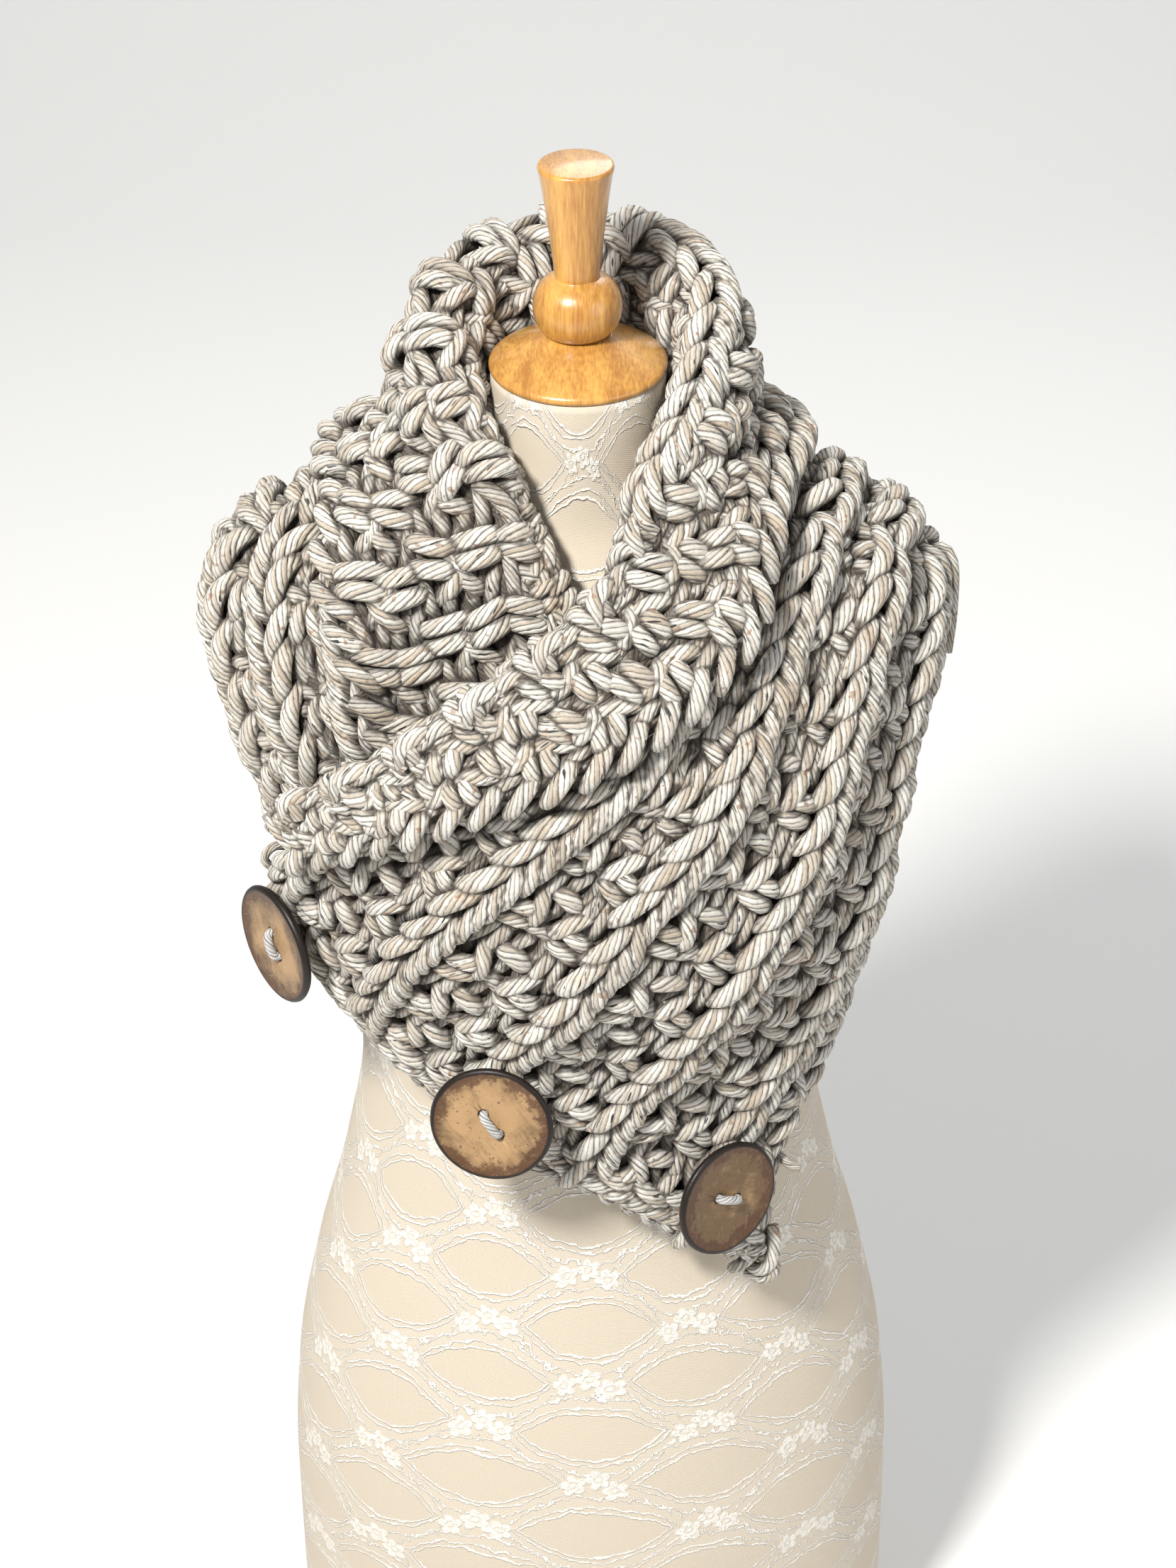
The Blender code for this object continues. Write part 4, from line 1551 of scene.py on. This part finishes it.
@dataclass
class WrapStretch:
    """One stretch of the strip: its ground, ribs, valleys and edges.

    Insets, margins and parts are from 0 to 1, and other sizes are in metres, but how far stitches
    may stand past a free end and a joined one is in millimetres.
    """

    plan: StretchPlan
    cover: Cover
    steps: int = 160
    ground_faces: tuple[int, int] = (60, 40)
    ground_inset: float = 0.012
    ground_margin: float = 0.018
    edge_inset: float = 0.012
    border_inset: float = 0.040
    valley_parts: tuple[float, float, float] = (0.27, 0.50, 0.73)
    valley_limits: tuple[float, float] = (0.02, 0.97)
    last_column: float = 0.0260
    column_start: float = 0.006
    rib_gaps: tuple[float, float] = (0.004, 0.002)
    fill_spacing: float = 0.010
    past_free: float = 3.5
    past_joined: float = 7.0

    def __post_init__(self) -> None:
        """Works out the places along it, and the room across it against the flat strip's."""
        plan = self.plan
        self.u = np.linspace(plan.begin, 1.0, self.steps)
        steps = np.linalg.norm(np.diff(plan.surface.points, axis=1), axis=2)
        shown = STRIP_WIDTH - plan.first
        self.room = steps * (plan.surface.points.shape[1] - 1) / shown

    def track(self, v: float) -> Track:
        """A line along the stretch at a place across it."""
        return Track(self.plan.surface, self.u, np.full(self.steps, v))

    def room_at(self, v: float) -> Callable[[float], float]:
        """The room at a place across, against the flat strip's.

        Args:
            v: the place across, 0 to 1.

        Returns:
            A function that gives the room at a distance along the line there.
        """
        line = self.track(v)
        rows, columns = self.room.shape
        column = min(int(v * columns), columns - 1)
        low, high = max(column - 3, 0), min(column + 4, columns)
        profile = self.room[:, low:high].mean(axis=1)
        values = np.interp(self.u, np.linspace(0, 1, rows), profile)
        return lambda s: float(np.clip(np.interp(s, line.at, values), 0.3, 1.15))

    def place_of(self, offset: float) -> float:
        """The place across the shown part of a distance across the whole strip."""
        return (offset - self.plan.first) / (STRIP_WIDTH - self.plan.first)

    def build(self, sweep: YarnSweep, finishes: Finishes) -> list[Object]:
        """Builds the stretch.

        Args:
            sweep: the yarn's tree.
            finishes: the materials.

        Returns:
            Its pieces, the ground first.
        """
        plan = self.plan
        margin = self.ground_margin
        ground = ground_shell(plan.node + "_ground", plan.surface,
                              (plan.begin + self.ground_inset, 1.0, margin, 1.0 - margin),
                              finishes.ground, self.ground_faces)
        made = []
        for key, knitting in (("ribs", self.ribs()), ("valleys", self.valleys()),
                              ("edges", self.edges())):
            strands = self.shown(knitting.strands)
            if strands:
                made.append(sweep.make(f"{plan.node}_{key}", strands, finishes.yarn))
        fill = Knitting()
        for v in np.arange(0.05, 0.97, self.fill_spacing / plan.flat[0]):
            fill.filler(self.track(float(v)), plan.way)
        made.append(sweep.make(plan.node + "_fill", fill.strands, finishes.yarn, 6))
        for piece in (ground, *made):
            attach(piece, "root")
            LOG.info("%s", piece.name)
        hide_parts(plan.node)
        return [ground, *made]

    def knitting(self) -> Knitting:
        """An empty knitting that may stand past this stretch's ends."""
        first = self.past_joined if self.plan.joined else self.past_free
        return Knitting(past=(first, self.past_joined))

    def ribs(self) -> Knitting:
        """The raised ribs along the stretch."""
        ribs = self.knitting()
        first, last = self.rib_gaps
        for offset in self.offsets():
            line = self.track(self.place_of(offset))
            ribs.braid(line, first, line.length - last, self.plan.way)
        return ribs

    def offsets(self) -> list[float]:
        """The ribs that show, by their distance across the whole strip."""
        return [offset for offset in RIB_OFFSETS if offset > self.plan.first + 0.01]

    def valleys(self) -> Knitting:
        """The columns of bumps and bars between the ribs."""
        valleys = self.knitting()
        way = self.plan.way
        ends = self.offsets()
        before = [offset for offset in RIB_OFFSETS if offset not in ends]
        stops = before[-1:] + ends
        first, middle, _ = self.valley_parts
        rows = [(low + (high - low) * part, part, low)
                for low, high in zip(stops, stops[1:]) for part in self.valley_parts]
        rows.append((RIB_OFFSETS[-1] + self.last_column, first, RIB_OFFSETS[-1]))
        for offset, part, low in rows:
            v = self.place_of(offset)
            if not self.valley_limits[0] < v < self.valley_limits[1]:
                continue
            line = self.track(v)
            room = self.room_at(v)
            late = 0.7 + 0.6 * jitter(low, 3)
            if part == middle:
                valleys.bars(line, self.column_start, line.length, room, late, way)
            else:
                lean = Lean.LEFT if part < middle else Lean.RIGHT
                valleys.bumps(line, self.column_start, line.length, room, lean, late, way)
        return valleys

    def edges(self) -> Knitting:
        """The yarn's turns round the edges, and the border at the lower end if it has one."""
        edges = Knitting()
        plan = self.plan
        if plan.chain_in:
            line = self.track(self.edge_inset)
            edges.cord_edge(line, 0.0, line.length, -plan.way)
        line = self.track(1.0 - self.edge_inset)
        edges.cord_edge(line, 0.0, line.length, plan.way)
        if plan.border:
            v = np.linspace(0.0, 1.0, self.steps)
            line = Track(plan.surface, np.full(self.steps, self.edge_inset), v)
            edges.cord_edge(line, 0.0, line.length, 1, tight=1.15)
            inner = Track(plan.surface, np.full(self.steps, self.border_inset), v)
            gap = self.column_start
            edges.braid(inner, gap, inner.length - gap, wide=0.62, high=-4.0)
        return edges

    def shown(self, strands: list[Strand]) -> list[Strand]:
        """The strands that aren't wholly under another stretch.

        Args:
            strands: the strands laid.

        Returns:
            Those of which some part can be seen.
        """
        kept = []
        for strand in strands:
            middle = len(strand.points) // 2
            if not all(self.cover.hides(strand.points[i], strand.out) for i in (1, middle, -2)):
                kept.append(strand)
        return kept


@dataclass
class Collar:
    """The turned edge of the strip, over its fold.

    The fold is a place across it and the tips are places along it, from 0 to 1. The columns and
    the free edge are shares of the way from the fold to an edge, and the rooms are usual widths
    in metres. The rib up to the nape begins and ends at shares of the way round, and the fold's
    first bump is late by part of a stitch.
    """

    surface: ClothSurface
    steps: int = 260
    tip_steps: int = 90
    fold: float = 0.480
    free_edge: float = 0.980
    columns: tuple[float, ...] = (0.20, 0.41, 0.62, 0.83)
    column_start: float = 0.004
    fold_late: float = 0.6
    side_room: float = 0.096
    fold_room: float = 0.160
    rib_shares: tuple[float, float] = (0.27, 0.50)
    tips: tuple[float, float] = (0.004, 0.996)
    ground_faces: tuple[int, int] = (110, 24)

    def track(self, start: float, stop: float, part: float) -> Track:
        """A line round the collar.

        Args:
            start: the place over the fold that part is measured from.
            stop: the place that it is measured to.
            part: how much of the way between them, 0 to 1.

        Returns:
            The line.
        """
        u = np.linspace(0, 1, self.steps)
        return Track(self.surface, u, self.surface.across_at(u, start, stop, np.array(part)))

    def room(self, line: Track, start: float, stop: float,
             usual: float) -> Callable[[float], float]:
        """The room across by distance along a line, against the usual.

        Args:
            line: the line.
            start: where across the collar the room begins.
            stop: where it ends.
            usual: how wide it usually is, in metres.

        Returns:
            A function that gives the room at a distance along the line.
        """
        rows, columns = self.surface.points.shape[:2]
        first, last = (int(round(w * (columns - 1))) for w in (start, stop))
        reach = self.surface.reach_across[:, last] - self.surface.reach_across[:, first]
        u = np.linspace(0, 1, self.steps)
        values = np.interp(u, np.linspace(0, 1, rows), reach) / usual
        return lambda s: float(np.clip(np.interp(s, line.at, values), 0.3, 1.12))

    def build(self, sweep: YarnSweep, finishes: Finishes) -> list[Object]:
        """Builds the collar.

        Args:
            sweep: the yarn's tree.
            finishes: the materials.

        Returns:
            Its pieces, the ground first.
        """
        outer = Knitting(radius=0.0047, pitch=0.0186, swelling=2.6)
        inner = Knitting(pitch=0.0190, size=0.98, swelling=1.0)
        ribs = Knitting(radius=0.0047, pitch=0.0210)
        fill = Knitting()
        for order, (knitting, edge) in enumerate(((inner, 0.0), (outer, 1.0))):
            self.lay_side(knitting, order, edge)
            for part in np.arange(0.08, 0.99, 0.10):
                fill.filler(self.track(self.fold, edge, float(part)))
        self.lay_fold(outer, ribs)
        edges = self.edges()
        ground = ground_shell("wrap_collar_ground", self.surface, (*self.tips, 0.01, 0.985),
                              finishes.ground, self.ground_faces)
        made = []
        for key, knitting in (("outside", outer), ("inside", inner), ("ribs", ribs),
                              ("edges", edges)):
            made.append(sweep.make(f"wrap_collar_{key}", knitting.strands, finishes.yarn))
        made.append(sweep.make("wrap_collar_fill", fill.strands, finishes.yarn, 6))
        for piece in (ground, *made):
            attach(piece, "root")
            LOG.info("%s", piece.name)
        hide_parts("wrap_collar")
        return [ground, *made]

    def lay_side(self, knitting: Knitting, order: int, edge: float) -> None:
        """Lays the columns of bumps of one face of the collar.

        Args:
            knitting: where the strands are kept.
            order: the face's number.
            edge: the edge that the face runs to from the fold, 0 or 1.
        """
        low, high = sorted((self.fold, edge))
        for number, part in enumerate(self.columns):
            line = self.track(self.fold, edge, part)
            room = self.room(line, low, high, self.side_room)
            late = 0.5 + number % 2 + 0.25 * jitter(order, part)
            lean = Lean.LEFT if (number % 2 == 0) == (edge > self.fold) else Lean.RIGHT
            knitting.bumps(line, self.column_start, line.length, room, lean, late)

    def lay_fold(self, bumps: Knitting, ribs: Knitting) -> None:
        """Lays the fold's own column: bumps, then a rib up to the nape, then bumps.

        Args:
            bumps: where the bumps' strands are kept.
            ribs: where the rib's strands are kept.
        """
        line = self.track(self.fold, 1.0, 0.0)
        last = self.steps - 1
        right, nape = (float(line.at[int(share * last)]) for share in self.rib_shares)
        room = self.room(line, 0.0, 1.0, self.fold_room)
        bumps.bumps(line, self.column_start, right, room, Lean.LEFT, self.fold_late)
        ribs.braid(line, right, nape, wide=0.95, high=-2.5)
        bumps.bumps(line, nape, line.length, room, Lean.RIGHT, self.fold_late)

    def edges(self) -> Knitting:
        """The yarn's turns round the free edge and the two tips."""
        edges = Knitting(radius=0.0052)
        line = self.track(self.fold, 1.0, self.free_edge)
        edges.cord_edge(line, 0.0, line.length, -1, tight=0.80)
        v = np.linspace(0.02, 0.98, self.tip_steps)
        for at, inward in zip(self.tips, (-1, 1)):
            tip = Track(self.surface, np.full(self.tip_steps, at), v)
            edges.cord_edge(tip, 0.0, tip.length, inward)
        return edges


@dataclass
class LooseEnds:
    """The ends of yarn and the small loop that stick out, and the lower corner's two strands.

    Each has its thickest radius and its route; all narrow by a share towards their ends.
    """

    points: int = 16
    narrowing: float = 0.18
    height: float = 0.006
    paths: tuple[tuple[float, tuple[tuple[float, float, float], ...]], ...] = (
        (0.0031, ((0.170, 0.008, 0.748), (0.180, 0.004, 0.757), (0.1862, 0.000, 0.750),
                  (0.1868, -0.005, 0.726), (0.1850, -0.010, 0.704))),
        (0.0026, ((0.092, -0.080, 0.440), (0.101, -0.083, 0.437), (0.107, -0.086, 0.432),
                  (0.1132, -0.088, 0.431))),
        (0.0024, ((-0.146, -0.066, 0.628), (-0.156, -0.069, 0.630), (-0.1610, -0.071, 0.624),
                  (-0.156, -0.071, 0.618), (-0.146, -0.068, 0.616))),
        (0.0040, ((0.080, -0.096, 0.384), (0.092, -0.102, 0.383), (0.0995, -0.104, 0.376),
                  (0.094, -0.104, 0.368), (0.084, -0.101, 0.371))),
        (0.0040, ((0.098, -0.098, 0.400), (0.099, -0.103, 0.390), (0.097, -0.106, 0.380),
                  (0.090, -0.105, 0.375), (0.082, -0.099, 0.380))),
    )

    def build(self, sweep: YarnSweep, finishes: Finishes) -> Object:
        """Builds them as one piece.

        Args:
            sweep: the yarn's tree.
            finishes: the materials.

        Returns:
            The piece.
        """
        strands = []
        for number, (radius, knots) in enumerate(self.paths):
            thick = radius * (1.0 - self.narrowing * np.linspace(0, 1, self.points) ** 3)
            strands.append(Strand(smooth_path(knots, self.points), thick,
                                  np.full(self.points, self.height), 0.13 + 0.17 * number,
                                  FRONT))
        made = sweep.make("wrap_loose_ends", strands, finishes.yarn)
        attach(made, "root")
        LOG.info("%s", made.name)
        return made


@dataclass
class ButtonSet:
    """The three shell buttons and the yarn that ties each on."""

    form: FormShape
    width: float = BUTTON_WIDTH
    thick: float = BUTTON_THICK
    dish: float = DISH
    hole_width: float = HOLE_WIDTH
    hole_step: float = HOLE_STEP
    tie_width: float = TIE_WIDTH
    rim_faces: int = 72
    hole_faces: int = 24
    tie_points: int = 40
    tie_sides: int = 16

    def placement(self, row: dict[str, Any]) -> Matrix:
        """Where a button made facing +Z at the origin goes.

        Args:
            row: the button's row in the table.

        Returns:
            The move and turn that take it there.
        """
        yaw = math.radians(row["yaw"])
        pitch = math.radians(row["pitch"])
        out = Vector((math.sin(yaw) * math.cos(pitch), -math.cos(yaw) * math.cos(pitch),
                      math.sin(pitch)))
        side = Vector((0, 0, 1)).cross(out).normalized()
        up = out.cross(side)
        tilt = math.radians(row["tilt"])
        across_it = side * math.cos(tilt) + up * math.sin(tilt)
        place = self.form.cloth(np.array([row["turn"]]), np.array([row["z"]]),
                                np.array([row["lift"]]))[0]
        turn = Matrix((across_it, out.cross(across_it), out)).transposed().to_4x4()
        return Matrix.Translation(Vector(place)) @ turn

    def disc(self, row: dict[str, Any], finish: Material) -> Object:
        """One button: a dished disc with a rolled rim and two drilled holes.

        Args:
            row: the button's row in the table.
            finish: its material.

        Returns:
            The disc in its place.
        """
        radius = self.width / 2
        half = self.thick / 2
        dish = self.dish
        profile = [(0.0, -half - dish), (radius * 0.5, -half - 0.7 * dish),
                   (radius * 0.85, -half - 0.2 * dish), (radius - 0.0014, -half),
                   (radius - 0.0004, -half * 0.45), (radius, 0.0), (radius - 0.0003, half * 0.5),
                   (radius - 0.0011, half * 0.92), (radius - 0.0022, half),
                   (radius - 0.0034, half * 0.86), (radius * 0.80, half - 0.42 * dish),
                   (radius * 0.55, half - 0.75 * dish), (radius * 0.30, half - 0.93 * dish),
                   (0.0, half - dish)]
        name = "button_" + row["name"] + "_shell"
        piece = turned_body(name, profile, self.rim_faces, finish)
        for side in (-1, 1):
            cutter = self.drill(side * self.hole_step / 2, finish)
            cut = piece.modifiers.new("hole", "BOOLEAN")
            cut.object = cutter
            cut.operation = "DIFFERENCE"
            cut.solver = "EXACT"
            made = plain_mesh(piece)
            piece.modifiers.clear()
            piece.data = made
            bpy.data.objects.remove(cutter)
        mesh = piece.data
        places = read_points(mesh)
        store_numbers(mesh, disc_x=places[:, 0], disc_y=places[:, 1],
                      disc_dark=np.full(len(places), row["dark"]))
        mesh.transform(self.placement(row))
        return piece

    def drill(self, x: float, finish: Material) -> Object:
        """The round bar that cuts one hole.

        Args:
            x: how far off the button's middle it is.
            finish: the button's material.

        Returns:
            The bar, standing well past both faces.
        """
        steps = self.hole_faces
        radius = self.hole_width / 2
        angles = [2 * math.pi * k / steps for k in range(steps)]
        points = [(x + radius * math.cos(angle), radius * math.sin(angle), z)
                  for z in (-0.02, 0.02) for angle in angles]
        faces: list[tuple[int, ...]] = [tuple(range(steps)), tuple(range(steps, 2 * steps))]
        faces += [(k, (k + 1) % steps, steps + (k + 1) % steps, steps + k)
                  for k in range(steps)]
        return make_object("cutter", points, faces, finish)

    def tie(self, row: dict[str, Any], sweep: YarnSweep,
            finish: Material) -> Object:
        """The yarn over one button's face and down through its holes.

        Args:
            row: the button's row in the table.
            sweep: the yarn's tree.
            finish: its material.

        Returns:
            The tie in its place.
        """
        count = self.tie_points
        half = self.hole_step / 2 - 0.0006
        top = self.thick / 2 - self.dish + self.tie_width * 0.62
        knots = ((-half * 0.9, 0.0, -0.0120), (-half, 0.0, -0.0040), (-half, 0.0, top * 0.45),
                 (-half * 0.72, 0.0002, top * 0.95), (0.0, 0.0004, top * 1.12),
                 (half * 0.72, 0.0002, top * 0.95), (half, 0.0, top * 0.45),
                 (half, 0.0, -0.0040), (half * 0.9, 0.0, -0.0120))
        place = self.placement(row)
        points = np.array([place @ Vector(point) for point in smooth_path(knots, count)])
        strand = Strand(points, np.full(count, self.tie_width / 2), np.full(count, 0.01),
                        0.5 + 0.5 * jitter(row["turn"], 2), FRONT)
        name = "button_tie_" + row["name"] + "_yarn"
        return sweep.make(name, [strand], finish, self.tie_sides)

    def build(self, sweep: YarnSweep, finishes: Finishes) -> list[Object]:
        """Builds the buttons and their ties.

        Args:
            sweep: the yarn's tree.
            finishes: the materials.

        Returns:
            The pieces.
        """
        made = []
        for row in BUTTONS:
            disc = self.disc(row, finishes.shell)
            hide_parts("button_" + row["name"])
            tie = self.tie(row, sweep, finishes.tie)
            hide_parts("button_tie_" + row["name"])
            for piece in (disc, tie):
                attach(piece, "root")
                made.append(piece)
                LOG.info("%s", piece.name)
        return made


def turned_body(name: str, profile: Sequence[tuple[float, float]], steps: int,
                finish: Material) -> Object:
    """A closed body of revolution about Z.

    Args:
        name: its name.
        profile: radius and height, from the axis at the bottom to the axis at the top.
        steps: how many faces round it.
        finish: its material.

    Returns:
        The object.
    """
    points: list[tuple[float, float, float]] = []
    starts = []
    for radius, z in profile:
        starts.append(len(points))
        if radius == 0:
            points.append((0.0, 0.0, z))
            continue
        for i in range(steps):
            angle = 2 * math.pi * i / steps
            points.append((radius * math.sin(angle), -radius * math.cos(angle), z))
    faces: list[tuple[int, ...]] = []
    for (low, _), (high, _), start, after in zip(profile, profile[1:], starts, starts[1:]):
        for i in range(steps):
            k = (i + 1) % steps
            if low == 0:
                faces.append((start, after + i, after + k))
            elif high == 0:
                faces.append((start + i, start + k, after))
            else:
                faces.append((start + i, start + k, after + k, after + i))
    return make_object(name, points, faces, finish)


@dataclass
class DressForm:
    """The limbless form: its lace cover, neck cap and finial.

    The lace's pattern has one reach round the body and a smaller one above, and it changes from
    one to the other under the wrap.
    """

    form: FormShape
    faces_round: int = 128
    turned_faces: int = 96
    rows_low: int = 60
    rows_high: int = 40
    shoulder: float = 0.700
    lace_change: float = 0.735
    lace_reach: float = 0.140
    neck_lace_reach: float = 0.0875

    def body(self, finish: Material) -> Object:
        """The covered body, with the places that its lace is drawn by.

        Args:
            finish: its material.

        Returns:
            The body.
        """
        steps = self.faces_round
        heights = np.concatenate([np.linspace(0.0, self.shoulder, self.rows_low),
                                  np.linspace(self.shoulder + 0.005, self.form.top,
                                              self.rows_high)])
        turns = np.arange(steps) * 360.0 / steps
        grid = np.stack([self.form.point(turns, z) for z in heights])
        points = grid.reshape(-1, 3)
        levels = len(heights)
        faces: list[tuple[int, ...]] = [tuple(range(steps)),
                                        tuple(range((levels - 1) * steps, levels * steps))]
        for i in range(levels - 1):
            for j in range(steps):
                k = (j + 1) % steps
                faces.append((i * steps + j, i * steps + k, (i + 1) * steps + k,
                              (i + 1) * steps + j))
        made = make_object("form_body_cover", points, faces, finish)
        around = np.tile(np.radians(turns), levels)
        climb = np.linalg.norm(np.diff(grid[:, 0], axis=0), axis=1)
        rise = np.concatenate([[0.0], climb.cumsum()])
        reach = np.where(heights > self.lace_change, self.neck_lace_reach, self.lace_reach)
        store_numbers(made.data, lace_cos=np.cos(around), lace_sin=np.sin(around),
                      lace_v=rise.repeat(steps), lace_reach=reach.repeat(steps))
        return made

    def build(self, finishes: Finishes) -> list[Object]:
        """Builds the form.

        Args:
            finishes: the materials.

        Returns:
            Its three pieces.
        """
        body = self.body(finishes.lace)
        cap = turned_body("neck_cap_wood", CAP_PROFILE, self.turned_faces, finishes.wood)
        knob = turned_body("finial_wood", FINIAL_PROFILE, self.turned_faces, finishes.wood)
        for piece, node, slot in ((body, "form_body", "lace_cover"),
                                  (cap, "neck_cap", "varnished_wood"),
                                  (knob, "finial", "varnished_wood")):
            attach(piece, "root")
            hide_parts(node)
            LOG.info("%s", piece.name)
        return [body, cap, knob]


@dataclass
class Studio:
    """The floor, the lights and the photo's camera."""

    finishes: Finishes
    near: float = -6.0
    far: float = 2.0
    curve: float = 1.5
    top: float = 6.0
    half_width: float = 8.0
    daylight: float = 0.42
    lens: float = 80.0
    sensor: float = 36.0
    camera_at: tuple[float, float, float] = (0.0025, -1.505, 1.638)
    looks_down: float = 34.1
    leans: float = -0.64

    def floor(self) -> None:
        """A plain pale floor that runs up behind the object."""
        bend, wide = self.curve, self.half_width
        profile = [(self.near, 0.0), (self.far, 0.0)]
        profile += [(self.far + bend * math.sin(a), bend - bend * math.cos(a))
                    for a in np.linspace(0.1, math.pi / 2, 12)]
        profile += [(self.far + bend, self.top)]
        points = [(x, y, z) for y, z in profile for x in (-wide, wide)]
        faces = [(2 * i, 2 * i + 1, 2 * i + 3, 2 * i + 2) for i in range(len(profile) - 1)]
        mesh = bpy.data.meshes.new("floor")
        mesh.from_pydata(points, [], faces)
        mesh.materials.append(self.finishes.floor)
        mesh.polygons.foreach_set("use_smooth", [True] * len(faces))
        place_in_scene("floor", mesh)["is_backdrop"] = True

    def light(self, name: str, place: Vector, aim: Vector, size: float, power: float,
              tint: Color = (1.0, 1.0, 1.0)) -> None:
        """A soft area light.

        Args:
            name: its name.
            place: where it is.
            aim: where it points.
            size: how wide it is.
            power: its watts.
            tint: its colour.
        """
        data = bpy.data.lights.new(name, "AREA")
        data.shape = "DISK"
        data.size = size
        data.energy = power
        data.color = tint
        turn = (aim - place).to_track_quat("-Z", "Y").to_matrix().to_4x4()
        place_in_scene(name, data).matrix_world = Matrix.Translation(place) @ turn

    def lights(self) -> None:
        """A key light from above and the left, softer ones from the right and behind."""
        middle = Vector((0, 0, 0.62))
        self.light("key", Vector((-0.9, -1.5, 2.6)), middle, 0.45, 112.0, (1.0, 0.98, 0.94))
        self.light("fill", Vector((1.9, -1.4, 1.3)), middle, 1.8, 14.0)
        self.light("back", Vector((0.4, 1.7, 2.2)), middle, 1.4, 18.0)
        world = bpy.data.worlds.new("studio")
        world.use_nodes = True
        sky = world.node_tree.nodes["Background"].inputs
        sky["Color"].default_value = (0.97, 0.98, 1.0, 1)
        sky["Strength"].default_value = self.daylight
        bpy.context.scene.world = world

    def camera(self) -> None:
        """The photo's viewpoint, worked out from the cap's and finial's circles and a button."""
        data = bpy.data.cameras.new("photo_camera")
        data.lens = self.lens
        data.sensor_width = self.sensor
        made = place_in_scene("photo_camera", data)
        made.matrix_world = (Matrix.Translation(self.camera_at)
                             @ Matrix.Rotation(math.radians(90 - self.looks_down), 4, "X")
                             @ Matrix.Rotation(math.radians(self.leans), 4, "Z"))
        bpy.context.scene.camera = made

    def build(self) -> None:
        """Sets the studio up."""
        self.floor()
        self.lights()
        self.camera()
        scene = bpy.context.scene
        scene.view_settings.view_transform = "Standard"
        LOG.info("studio")


def main() -> None:
    """Builds the whole scene."""
    logging.basicConfig(level=logging.INFO, format="%(name)s: %(message)s")
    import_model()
    finishes = Finishes.make()
    sweep = YarnSweep()
    form = FormShape()
    right = stretch_surface(form, RIGHT_FRONT)
    left = stretch_surface(form, LEFT_FRONT)
    back = stretch_surface(form, BACK)
    collar = collar_surface(form)
    over_back = Cover([collar])
    over_left = Cover([right, collar])
    DressForm(form).build(finishes)
    plans = (
        (StretchPlan("wrap_right_front", right, (0.34, 0.40), border=True), over_back),
        (StretchPlan("wrap_left_front", left, (0.12, 0.22), first=0.175, begin=0.2,
                     chain_in=False, way=-1), over_left),
        (StretchPlan("wrap_back", back, (0.20, 0.48), joined=True), over_back),
    )
    yarn = []
    for plan, cover in plans:
        yarn += WrapStretch(plan, cover).build(sweep, finishes)[1:]
    yarn += Collar(collar).build(sweep, finishes)[1:]
    yarn.append(LooseEnds().build(sweep, finishes))
    # each piece is marked with how closed in its points are, for the painted shade in the yarn's
    # finish
    painted_hollow_shade = PaintedHollowShade(yarn)
    for piece in yarn:
        painted_hollow_shade.mark(piece)
    LOG.info("hollows marked")
    ButtonSet(form).build(sweep, finishes)
    Studio(finishes).build()
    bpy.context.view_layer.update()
    faces = sum(len(polygon.vertices) - 2 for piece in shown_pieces() if piece.type == "MESH"
                for polygon in piece.data.polygons)
    LOG.info("%d triangles", faces)


if __name__ == "__main__":
    main()
